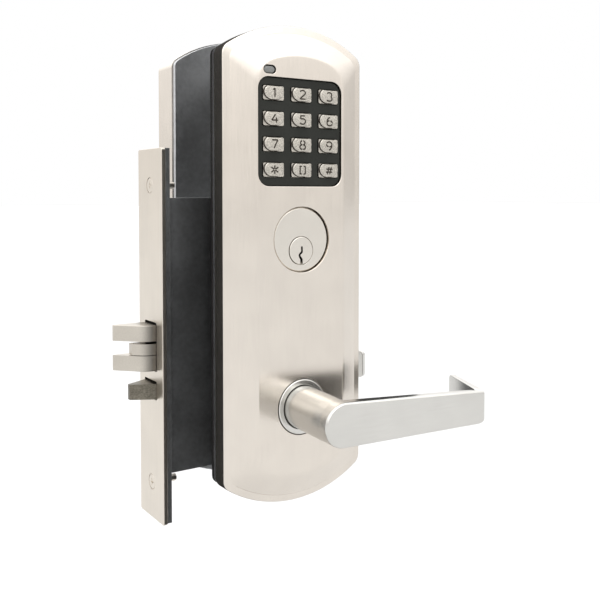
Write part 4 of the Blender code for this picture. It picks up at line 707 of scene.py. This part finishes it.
def ribbon(path, centre, top):
    """Sections of a stroke: the path's points moved to both sides, a little above the dome and a
    little below it. The first and last sections narrow, so the ends look cut with a round tool."""
    path = path * SPREAD
    length = lengths(path)[-1]
    at = np.linspace(0, length, max(8, int(length / 0.14)))
    along = points_at(path, at)
    from_end = np.clip(np.minimum(at, length - at) / (STROKE / 2), 0, 1)
    side = sideways(along, STROKE / 2 * np.sqrt(np.clip(1 - (1 - from_end) ** 2, 0.12, 1)))
    edges = np.stack([along + side, along - side, along - side, along + side], 1)
    lift = np.array([0.02, 0.02, -0.08, -0.08])[None, :]
    y = top - cushion_height(edges[..., 0], edges[..., 1]) - lift
    return np.stack([edges[..., 0] + centre[0], y, edges[..., 1] + centre[1]], -1)


def joined(name, parts):
    """One mesh from several separate ones."""
    mesh = bmesh.new()
    for part in parts:
        mesh.from_mesh(part.data)
        bpy.data.objects.remove(part)
    data = bpy.data.meshes.new(name)
    mesh.to_mesh(data)
    mesh.free()
    return placed(name, data)

# %% Make the twelve keys and their marks
for name in KEYS:
    centre, (width, height), front, back = front_view("key_" + name, FLANGE)
    key = solid("keycap_" + name, key_rings(centre, width, height, front, back - FLANGE_DEPTH))
    rim = rounded(centre, width + 2 * FLANGE, height + 2 * FLANGE, 0.9, 64)
    key = joined("keycap_" + name, [key, slab("rim", rim, "Y", back - FLANGE_DEPTH, back, 0.05)])
    dress(key, "satin_key")
    # Second material: the dark ink, here as painted shade on the cushion's side wall.
    key.data.materials.append(materials["ink_and_painted_shade"])
    paint = np.zeros(len(key.data.polygons), np.int32)
    paint[3 * KEY_POINTS:4 * KEY_POINTS] = 1        # the wall between block and cushion
    key.data.polygons.foreach_set("material_index", paint)
    finish(key, "key_" + name, 40)
    strokes = [solid("stroke", ribbon(path, centre, front + DOME)) for path in MARKS[name]]
    mark = joined("mark_" + name, strokes)
    dress(mark, "ink_and_painted_shade")
    finish(mark, "key_" + name, 30, stands_for=False)

# %% [markdown]
# ## The key cylinder
# A mortise cylinder is one turned part: a wide head with a chamfer, a long barrel, and a bore for
# the plug below its middle. The plug has a shoulder and a keyway that bends twice, because the
# wards of the real key fit between its sides. Both are turned profiles. The bore and the keyway
# are cut afterwards, as on the real part.

# %% Cylinder body and plug
PLUG, (SHOULDER, _), PLUG_FRONT, PLUG_BACK = front_view("cylinder_plug")

head, front = HEAD / 2, HEAD_FRONT
profile = eased([(head - 1.5, front), (head - 0.75, front), (head, front + 0.75), (head, front + 4)],
                (0.5, 0.35), 5)
barrel = [(14.6, front + 4), (14.6, BARREL_BACK)]
body = turned("key_cylinder", [*profile, *barrel], "Y", CYLINDER, 128)
opening_in_face(body, front, -1, disc(PLUG, SHOULDER + 0.6), 2.1, 0.25)
shape(body, bar("Y", PLUG, 13.0, front - 1, BARREL_BACK + 1, 96))
complete(body, "cylinder_body", 35)

shoulder, front = SHOULDER / 2, PLUG_FRONT
profile = eased([(shoulder - 1.2, front), (shoulder, front), (shoulder, front + 2.2)], 0.45, 7)
plug = turned("key_plug", [*profile, (6.2, front + 2.2), (6.2, PLUG_BACK)], "Y", PLUG)
path = eased([(0.25, 2.3), (0.35, -0.9), (-1.75, -2.3), (0.0, -4.7), (0.0, -7.2)], 1.2, 9)
share = np.linspace(0, 1, 70)
keyway = points_at(path, share * lengths(path)[-1])
side = sideways(keyway, np.interp(share, [0, 0.6, 0.8, 1], [0.52, 0.58, 0.75, 0.8]))
loop = counter(np.vstack([keyway + side, (keyway - side)[::-1]]) + PLUG)
shape(plug, opening(loop, "Y", front, -1, 20, 0.12, 3))
complete(plug, "cylinder_plug", 35)

# %% [markdown]
# ## The levers
# A lever is a bar that gets a little thinner towards its end. From the front it is a half circle at
# the spindle and tapers along the grip, and from above it turns back towards the door. The bar is
# worked out flat first: an outline of length and height, stacked through the thickness with its edges
# rounded. Then every point is moved to its place on the bent plan, between the outer and the
# inner curve. Bending a finished flat bar in a formula keeps both edges smooth through the bend.

# %% The flat bar and its bend
HEAD_RADIUS = 11.8
DROP = 1.2              # the half circle's middle below the spindle's axis
GRIP = 100.5            # from the axis to the corner
RETURN = 45.5           # from the corner to the end
TOP, BOTTOM = 3.7, -15.4    # height of the upper and lower edge at the corner
THICK = (6.8, 5.2, 3.8)     # thickness at the neck, at the corner and at the end
LEAN = math.radians(20.85)  # the return's lean away from the axis
BEND = math.pi / 2 - LEAN
EDGE = 1.3              # rounding of the bar's front edges
TIP = 3.0               # rounding of its end, seen from the front
PINCH = 1.1             # how much polishing takes off the outer corner's height


def lever_edge(corner_z, count):
    """Upper or lower edge, from the tip of the half circle to the far end: a tangent from the
    circle to the corner, level from there on, and a quarter circle at the end."""
    way, rise = math.copysign(1, corner_z), abs(corner_z + DROP)
    tangent = math.atan2(rise, GRIP) + math.acos(HEAD_RADIUS / math.hypot(GRIP, rise))
    turn = np.linspace(math.pi, tangent, 28)
    u = HEAD_RADIUS * np.cos(turn)
    spread = np.r_[np.linspace(u[-1], GRIP - 16, count)[1:], np.linspace(GRIP - 16, GRIP + 16, 49)[1:],
                   np.linspace(GRIP + 16, GRIP + RETURN - TIP, 12)[1:]]
    height = np.interp(spread, [u[-1], GRIP], [HEAD_RADIUS * math.sin(tangent), rise])
    end = np.linspace(0, math.pi / 2, 9)[1:]
    u_all = np.r_[u, spread, GRIP + RETURN - TIP + TIP * np.sin(end)]
    z_all = np.r_[HEAD_RADIUS * np.sin(turn), height, rise - TIP + TIP * np.cos(end)]
    return np.stack([u_all, way * z_all - DROP], 1)


def bent(distance, radius, offset=0.0):
    """Places on a path that turns by BEND round a rounded corner, by distance from the corner,
    moved to the inner side by an offset that may differ from point to point."""
    leg = radius * math.tan(BEND / 2)
    turn = BEND * np.clip((distance + leg) / (2 * leg), 0, 1)
    before, after = np.minimum(distance, -leg), np.maximum(distance - leg, 0)
    x = before + radius * np.sin(turn) + after * math.cos(BEND) - offset * np.sin(turn)
    y = radius * (1 - np.cos(turn)) + after * math.sin(BEND) + offset * np.cos(turn)
    return np.stack([x, y], -1)


def lever_rings(front, way):
    """The bar's rings through its thickness, bent to plan. The inner curve is shorter than the
    outer one by twice the corner's thickness times tan(BEND / 2), which is taken up within 16 mm
    of the corner. It is then moved in or out by what the thickness differs from the corner's. The
    outer corner is also drawn in by PINCH, which rounds it as polishing does."""
    upper, lower = lever_edge(TOP, 30), lever_edge(BOTTOM, 30)
    loop = np.vstack([upper, lower[:0:-1]])[::-1]
    t = np.linspace(0, math.pi / 2, 7)
    inset = np.r_[EDGE * (1 - np.sin(t)), 0.4 * (1 - np.sin(t[::-1]))]
    share = np.r_[EDGE * (1 - np.cos(t)) / THICK[1], 1 - 0.4 * (1 - np.cos(t[::-1])) / THICK[1]]
    share = share[:, None, None]
    flat = np.array([moved_in(loop, i) for i in inset])
    distance, short = flat[..., 0] - GRIP, THICK[1] * math.tan(BEND / 2)
    inner = np.sign(distance) * (np.abs(distance) - short * np.minimum(np.abs(distance) / 16, 1))
    thicker = np.interp(distance, [-GRIP, 0, RETURN], THICK) - THICK[1]
    plan = (1 - share) * bent(distance, 3.5) + share * (bent(inner, 2.6, thicker) + (-short, THICK[1]))
    pinch = PINCH * np.exp(-(distance / 2.4) ** 2) * (1 - 0.5 * share[..., 0])
    height = flat[..., 1] - np.sign(flat[..., 1] + DROP) * pinch
    return np.stack([GRIP + plan[..., 0], front - way * plan[..., 1], height], -1), len(upper)


def end_faces(rows, points, upper):
    """Strips across the first and last ring, from each point of the upper edge to the lower."""
    k = np.arange(upper)
    top, foot = points - 1 - k, (k - 1) % points
    strip = np.stack([top[:-1], top[1:], foot[1:], foot[:-1]], 1)
    first = [[top[0], top[1], foot[1]], *strip[1:].tolist()]
    return first + [[v + (rows - 1) * points for v in face] for face in first]

# %% [markdown]
# ## Neck, fillet and rose
# The neck is cast in one piece with the bar. It is round, and on the grip's side it swells into
# the bar's back in a fillet. The rings of the neck are circles whose points on that side are
# pushed out by the fillet's height. The rose is a turned ring that stands just proud of the trim,
# with a dark gap on each side of it.

# %% Build both levers and roses
FILLET = 7.0
NECK = 11.8             # radius of the neck


def neck_rings(start, end, face, way):
    """Circles from the rose to inside the bar, sinking by DROP on the way. Their grip side is
    pushed out by the fillet: r - sqrt(r^2 - (r - d)^2) at a distance d from the bar's back."""
    d = np.r_[abs(end - start), abs(end - face) - 2, np.linspace(FILLET, 0, 14), -2.5]
    sink = np.interp(d, [0, abs(end - face) - 2], [DROP, 0])[:, None]
    radius = np.interp(d, [0, FILLET], [HEAD_RADIUS - 0.3, NECK])[:, None]
    push = FILLET - np.sqrt(np.clip(FILLET ** 2 - (FILLET - np.clip(d, 0, FILLET)) ** 2, 0, None))
    turn = np.linspace(0, math.tau, 112, endpoint=False)[None, :]
    x = (radius + push[:, None] * np.clip(np.cos(turn), 0, 1) ** 1.5) * np.cos(turn)
    z = radius * np.sin(turn) - sink
    y = (end - way * d)[:, None] * np.ones_like(x)
    return np.stack([x, y, z], -1)


def lever_set(side, face, way):
    """A lever and its rose, on the side of the door that way points to."""
    low, high = corners_of(side + "_lever")
    front, start = (low[1], high[1]) if way < 0 else (high[1], low[1])
    rings, upper = lever_rings(front, way)
    lever = solid("lever_" + side, rings, faces=end_faces(*rings.shape[:2], upper))
    shape(lever, solid("neck", neck_rings(start, front - way * THICK[0], face, way)), "UNION")
    complete(lever, side + "_lever", 38)
    low, high = corners_of(side + "_rose")
    base, top = (high[1], low[1]) if way < 0 else (low[1], high[1])
    inner, outer = NECK + 0.35, ROSE / 2
    ring = eased([(inner, base), (inner, top), (outer, top), (outer, base)], (0.4, 0.7), 7)
    rose = turned("rose_" + side, ring, "Y", (0, 0), 112, closed=True)
    complete(rose, side + "_rose", 35)


INSIDE_FACE = corners_of("inside_escutcheon")[1][1]
lever_set("outside", FACE, -1)
lever_set("inside", INSIDE_FACE, 1)

# %% [markdown]
# ## Faceplate and its screws
# The faceplate is a strip of plate with its edges eased by polishing, an opening for each bolt and
# two countersunk screws. The screws are small turned heads with a cross recess. The recess is cut
# with two wedges that get narrower as they go in, as the punch that makes the real one does.

# %% Faceplate
face_low, face_high = corners_of("faceplate")
EDGE_X = face_low[0]
MIDDLE_Y, = middle("faceplate", 1)
latch_low = corners_of("latch_bolt")[0]
LATCH_Z = (21.2, 46.2)
SLOT_Z = (29.7, 37.5)       # the tongue's slot between the latch's arms
SLOT_END = -58.5
LATCH_Y = (MIDDLE_Y - 7.225, MIDDLE_Y + 7.575)
GUARD_Z = (5.6, 14.0)
GUARD_Y = (MIDDLE_Y - 6.925, MIDDLE_Y + 8.275)


def box_loop(y, z, grow=0.0, radius=0.4, count=96):
    centre = (sum(y) / 2, sum(z) / 2)
    return rounded(centre, y[1] - y[0] + 2 * grow, z[1] - z[0] + 2 * grow, radius, count)


strip = box_loop((face_low[1], face_high[1]), (face_low[2], face_high[2]), 0, 0.8, 300)
plate = slab("strike_face", strip, "X", EDGE_X, face_high[0], 0.35)
for y, z in ((LATCH_Y, LATCH_Z), (GUARD_Y, GUARD_Z)):
    shape(plate, opening(box_loop(y, (z[0], z[1] + 0.7), 0.5, 0.6), "X", EDGE_X, -1, 6, 0.15))
screw_z = [middle("faceplate_screw_" + end, 2)[0] for end in ("top", "bottom")]
for z in screw_z:
    sink = [(4.45, EDGE_X - 1), (4.3, EDGE_X), (4.25, EDGE_X + 0.4), (2.3, face_high[0] - 0.3),
            (2.3, face_high[0] + 1)]
    shape(plate, turned("sink", sink, "X", (MIDDLE_Y, z), 64))
complete(plate, "faceplate", 35)


def cross_recess(obj, centre, face, axis, way, size, deep):
    """Cuts two wedges across each other. way is the direction out of the head."""
    for turn in (0, math.pi / 2):
        corner = turn + math.radians(12) + np.array([0, math.pi - 0.42, math.pi, -0.42])
        steps = ((0.45, -deep), (1.0, 0), (1.2, 0.5))
        rings = [lay(polar(size / 2 * s, corner) + centre, axis, face + way * d) for s, d in steps]
        shape(obj, solid("wedge", np.array(rings)))


for end, z in zip(("top", "bottom"), screw_z):
    low, high = corners_of("faceplate_screw_" + end)
    profile = [(0.01, low[0] - 0.05), (3.95, low[0] + 0.05), (3.95, low[0] + 0.35), (2, face_high[0] - 0.3)]
    profile = eased(profile, (0.2, 0.1), 4)
    screw = turned("edge_screw_" + end, [*profile, (2, high[0])], "X", (MIDDLE_Y, z), 48)
    cross_recess(screw, (MIDDLE_Y, z), low[0] - 0.05, "X", -1, 4.2, 1.1)
    complete(screw, "faceplate_screw_" + end, 35)

# %% [markdown]
# ## The bolts
# The latch is a cast fork. Its working face runs straight out of the faceplate, round a curve and
# away at 46 degrees, and a tongue between its arms has the same face, so that it takes the first
# touch of the strike. Seen from above that face is one curve, carried straight up and eased at
# both ends. The guard bolt under it is a wedge with two equal slopes, so it suits either hand.

# %% Latch, tongue and guard bolt
NOSE = 10               # radius of the working face's curve
SLOPE = 46              # the angle it turns through, in degrees
PIN_BORE = 3.2
BOSS = 3.1              # radius of the tongue's round end


def working_face(tip):
    """From above: straight to the curve, round its arc, and on to the tip."""
    turn = np.radians(np.linspace(-90, -90 - SLOPE, 18))
    arc = polar(NOSE, turn) + (EDGE_X - 1.2, LATCH_Y[0] + NOSE)
    reach = arc[-1, 0] - tip
    return np.vstack([arc, [[tip, arc[-1, 1] + reach * math.tan(math.radians(SLOPE))]]])


tip, back = latch_low[0], -55.0
loop = np.vstack([[[back, LATCH_Y[1]], [back, LATCH_Y[0]]], working_face(tip), [[tip, LATCH_Y[1]]]])
latch = slab("latch_head", counter(loop), "Z", *LATCH_Z, 0.5)
slot = (tip - 1, LATCH_Y[0] - 1, SLOT_Z[0]), (SLOT_END, LATCH_Y[1] + 1, SLOT_Z[1])
shape(latch, block("slot", *slot))
shape(latch, bar("X", (MIDDLE_Y, 35), 6, back - 1, 5), "UNION")
shape(latch, block("tail", (4, 13.3, 14), (7, MIDDLE_Y - 0.4, 38)), "UNION")
PIN = middle("latch_pin", 0, 1)
shape(latch, bar("Z", PIN, PIN_BORE, latch_low[2] - 10, 60))
complete(latch, "latch_bolt", 35)

tongue_low, tongue_high = corners_of("latch_tongue")
boss = polar(BOSS, np.radians(np.linspace(180, 0, 17))) + PIN
face = working_face(tongue_low[0])
far = MIDDLE_Y + 3.175
loop = np.vstack([[[PIN[0], LATCH_Y[0]]], face, [[face[-1, 0], far], [PIN[0] - BOSS, far]], boss[1:]])
tongue = slab("latch_roller_tongue", counter(loop), "Z", tongue_low[2], tongue_high[2], 0.2)
shape(tongue, bar("Z", PIN, PIN_BORE, 0, 60))
complete(tongue, "latch_tongue", 35)

guard_low, guard_high = corners_of("guard_bolt")
tip, foot, mid = guard_low[0], EDGE_X - 0.4, sum(GUARD_Y) / 2
near, far = GUARD_Y
loop = np.array([[-58, far], [-58, near], [foot, near], [tip, mid - 1.2], [tip, mid + 1.2], [foot, far]])
guard = slab("guard_head", counter(loop), "Z", *GUARD_Z, 0.25)
shape(guard, bar("X", (mid, sum(GUARD_Z) / 2), 3.5, -59, guard_high[0], 36), "UNION")
complete(guard, "guard_bolt", 30)

# %% [markdown]
# ## The inside trim
# The inside trim repeats the outside one with a deeper shell, a narrower bevel and a door for the
# batteries. The same two functions make it. The battery door is a flat slab that fills its window
# almost flush, with a thumb notch at the bottom so that it can be lifted out.

# %% Inside shell, battery door and screw
low, high = corners_of("inside_escutcheon")
depth = high[1] - low[1]
profile = [(0, 0), (0, depth - 6.5), (0.9, depth - 6.0), (6.5, depth), (9.5, depth)]
inside = trim_shell("inside_escutcheon", low[1], 1, profile, (0.35, 0.35, 3.0))
COVER, COVER_SIZE, *cover_depth = front_view("battery_cover")
window = rounded(COVER, COVER_SIZE[0] + 2 * GAP, COVER_SIZE[1] + 2 * GAP, 3.3)
opening_in_face(inside, INSIDE_FACE, 1, window, WALL + 1, 0.4)
opening_in_face(inside, INSIDE_FACE, 1, disc((0, 0), ROSE + 0.7, 128), WALL + 1, 0.25)
SCREW, _, screw_end, screw_head = front_view("inside_escutcheon_screw")
opening_in_face(inside, INSIDE_FACE, 1, disc(SCREW, 7.1), 1.9, 0.2)
shape(inside, bar("Y", SCREW, 3.6, INSIDE_FACE - 4, INSIDE_FACE + 1))
inside.name = "escutcheon_inside"
complete(inside, "inside_escutcheon", 35)

cover = slab("battery_door", rounded(COVER, *COVER_SIZE, 3.0), "Y", *cover_depth, 0.45)
notch = [(8.6, INSIDE_FACE + 1), (8.0, INSIDE_FACE), (7.3, INSIDE_FACE - 0.9), (5.5, INSIDE_FACE - 1.3),
         (0.01, INSIDE_FACE - 1.5)]
shape(cover, turned("notch", notch, "Y", (COVER[0], COVER[1] - COVER_SIZE[1] / 2 + 11), 64))
complete(cover, "battery_cover", 35)

neck = screw_head - 1.6
profile = [(0.01, INSIDE_FACE + 0.3), (2.2, INSIDE_FACE + 0.1), (3.25, INSIDE_FACE - 0.35), (3.25, neck)]
profile = [*eased(profile, (2.0, 0.5), 5), (1.5, neck), (1.5, screw_end)]
screw = turned("trim_screw", profile, "Y", SCREW, 48)
cross_recess(screw, SCREW, INSIDE_FACE + 0.25, "Y", 1, 3.4, 1.1)
complete(screw, "inside_escutcheon_screw", 35)

# %% [markdown]
# ## Working parts
# The case, its cover, the plates, hubs and bolts inside are stamped and turned steel. Their CAD
# shapes are right, but stamped edges are never razor sharp. Each one gets a copy whose triangles
# are merged back into flat faces, with a Bevel of a few tenths of a millimetre at every sharp
# edge. Small round parts keep their CAD node and only get its finish. The two springs behind
# the bolts are copied and finished.

# %% Ease the edges of the working parts
def eased_copy(node, width, segments=2):
    """A copy of a node with doubles merged, flat areas joined, and its sharp edges bevelled."""
    data = frame["nodes"][node].data.copy()
    mesh = bmesh.new()
    mesh.from_mesh(data)
    bmesh.ops.remove_doubles(mesh, verts=mesh.verts, dist=1e-6)
    bmesh.ops.dissolve_limit(mesh, angle_limit=math.radians(1), verts=mesh.verts, edges=mesh.edges)
    mesh.to_mesh(data)
    mesh.free()
    obj = placed("eased_" + node, data)
    bevel = obj.modifiers.new("edges", "BEVEL")
    bevel.width, bevel.segments, bevel.limit_method = width * MM, segments, "ANGLE"
    bevel.angle_limit, bevel.harden_normals = math.radians(40), False
    complete(obj, node, 35)


EASES = {"lock_case": 0.4, "case_cover": 0.3, "case_front": 0.4, "outside_mounting_plate": 0.25,
         "inside_mounting_plate": 0.25, "outside_gasket": 0.3, "battery_tray": 0.2, "outside_hub": 0.25,
         "inside_hub": 0.25, "outside_spindle": 0.3, "inside_spindle": 0.3, "cylinder_cam": 0.25}
for node, width in EASES.items():
    eased_copy(node, width)

# %% Copies of the springs behind the bolts
def live_spring(node, joint):
    """A copy of the CAD spring, finished like its node. It prints the share of its length that it
    would keep at the joint's limit, which is its length less the joint's travel."""
    low, high = corners_of(node)
    travel = next(j["range_m"][1] for j in frame["joints"] if j["name"] == joint) / MM
    obj = placed(node + "_coil", frame["nodes"][node].data.copy())
    complete(obj, node, 50).modifiers.clear()
    left = 1 - travel / (high[0] - low[0])
    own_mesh(obj)
    print(node, "keeps", round(left, 2), "of its length at the limit of", joint)


live_spring("latch_spring", "latch_retract")
live_spring("guard_spring", "guard_bolt_slide")

# %% [markdown]
# ## Room, light and camera
# Metal shows what is round it, so the room matters more than the lamps. The sky is a soft bright
# room, and the camera sees only a plain white part of it. A lock is nearly always seen on a door,
# and without one its sides and the backs of its levers would shine as brightly as its face. So a
# black card that only reflections can see stands where the door's face would be. Large soft lamps
# stand above and to the left in front. A small one draws a streak along the lever's round neck.

# %% Floor and door card
def card(name, low, high, axis, place, dark, light, waves, rough, **others):
    """A flat card across an axis, from one corner to the other in metres. Its paint varies between
    two tones of grey, in so many waves to a metre."""
    loop = np.array([low, (high[0], low[1]), high, (low[0], high[1])])
    data = bpy.data.meshes.new(name)
    data.from_pydata(lay(loop, axis, place).tolist(), [], [(0, 1, 2, 3)])
    obj = placed(name, data)
    start = new_material(name)
    surface(start, start.noise(evenly(waves)).colours([dark] * 3, [light] * 3), rough, **others)
    data.materials.append(materials[name])
    return obj


FLOOR = 20              # half the floor's width
card("floor", (-FLOOR, -FLOOR), (FLOOR, FLOOR), "Z", cad_box[0][2] - 0.15, 0.59, 0.61, 3, 0.85, **MATT)
door = card("door_card", (-0.069, -0.080), (0.106, 0.230), "Y", 0.0003, 0.008, 0.012, 9, 0.9)
door.visible_camera = door.visible_diffuse = door.visible_shadow = door.visible_transmission = False

# %% Sky
def room_light():
    """Brightness by direction: brighter upwards, and a little dimmer far to the right. The camera
    sees an even white background."""
    world = bpy.data.worlds.new("room")
    bpy.context.scene.world = world
    way = emptied(world, "Generated")
    up = way.part("Z").between(-0.1, 0.6)
    right = way.part("X").between(0.6, 1.0)
    light = (up + 0.93) * (1 - right * 0.2)
    tint = up.colours((1.0, 0.975, 0.95), (1, 1, 1))
    room = light.add("Background", {"Color": tint, "Strength": light})
    plain = light.add("Background", {"Color": (1, 1, 1, 1), "Strength": 1.0})
    camera_ray = light.add("LightPath", output="Is Camera Ray")
    light.add("OutputWorld", {"Surface": light.add("MixShader", {0: camera_ray, 1: room, 2: plain})})


room_light()

# %% Lamps and camera
def soft_lamp(name, place, target, size, power):
    light = bpy.data.lights.new(name, "AREA")
    light.shape, light.size, light.energy = "DISK", size, power
    obj = placed(name, light)
    obj.location = place
    x, y, z = np.array(target) - np.array(place)
    obj.rotation_euler = (math.atan2(math.hypot(x, y), -z), 0, math.atan2(-x, y))


soft_lamp("overhead", (-0.2, -0.7, 1.2), (0, 0, 0.1), 0.9, 2.0)
soft_lamp("side", (-0.9, -0.9, 0.6), (0, 0, 0.08), 0.8, 1.0)
soft_lamp("streak", (0.35, -1.1, 0.85), (0, -0.03, 0), 0.5, 1.2)

# The Standard view shows a white room as white, with no curve over the light greys.
bpy.context.scene.view_settings.view_transform = "Standard"
CAMERA = (-0.2471, -0.3971, 0.1175)
YAW, PITCH = math.radians(33.27), math.radians(2.42)
camera = placed("camera", bpy.data.cameras.new("camera"))
camera.location = CAMERA
camera.rotation_euler = (math.pi / 2 - PITCH, 0, -YAW)
camera.data.lens, camera.data.sensor_width = 49.31, 36
camera.data.shift_y = -0.12
camera.data.clip_start = 0.01
bpy.context.scene.camera = camera
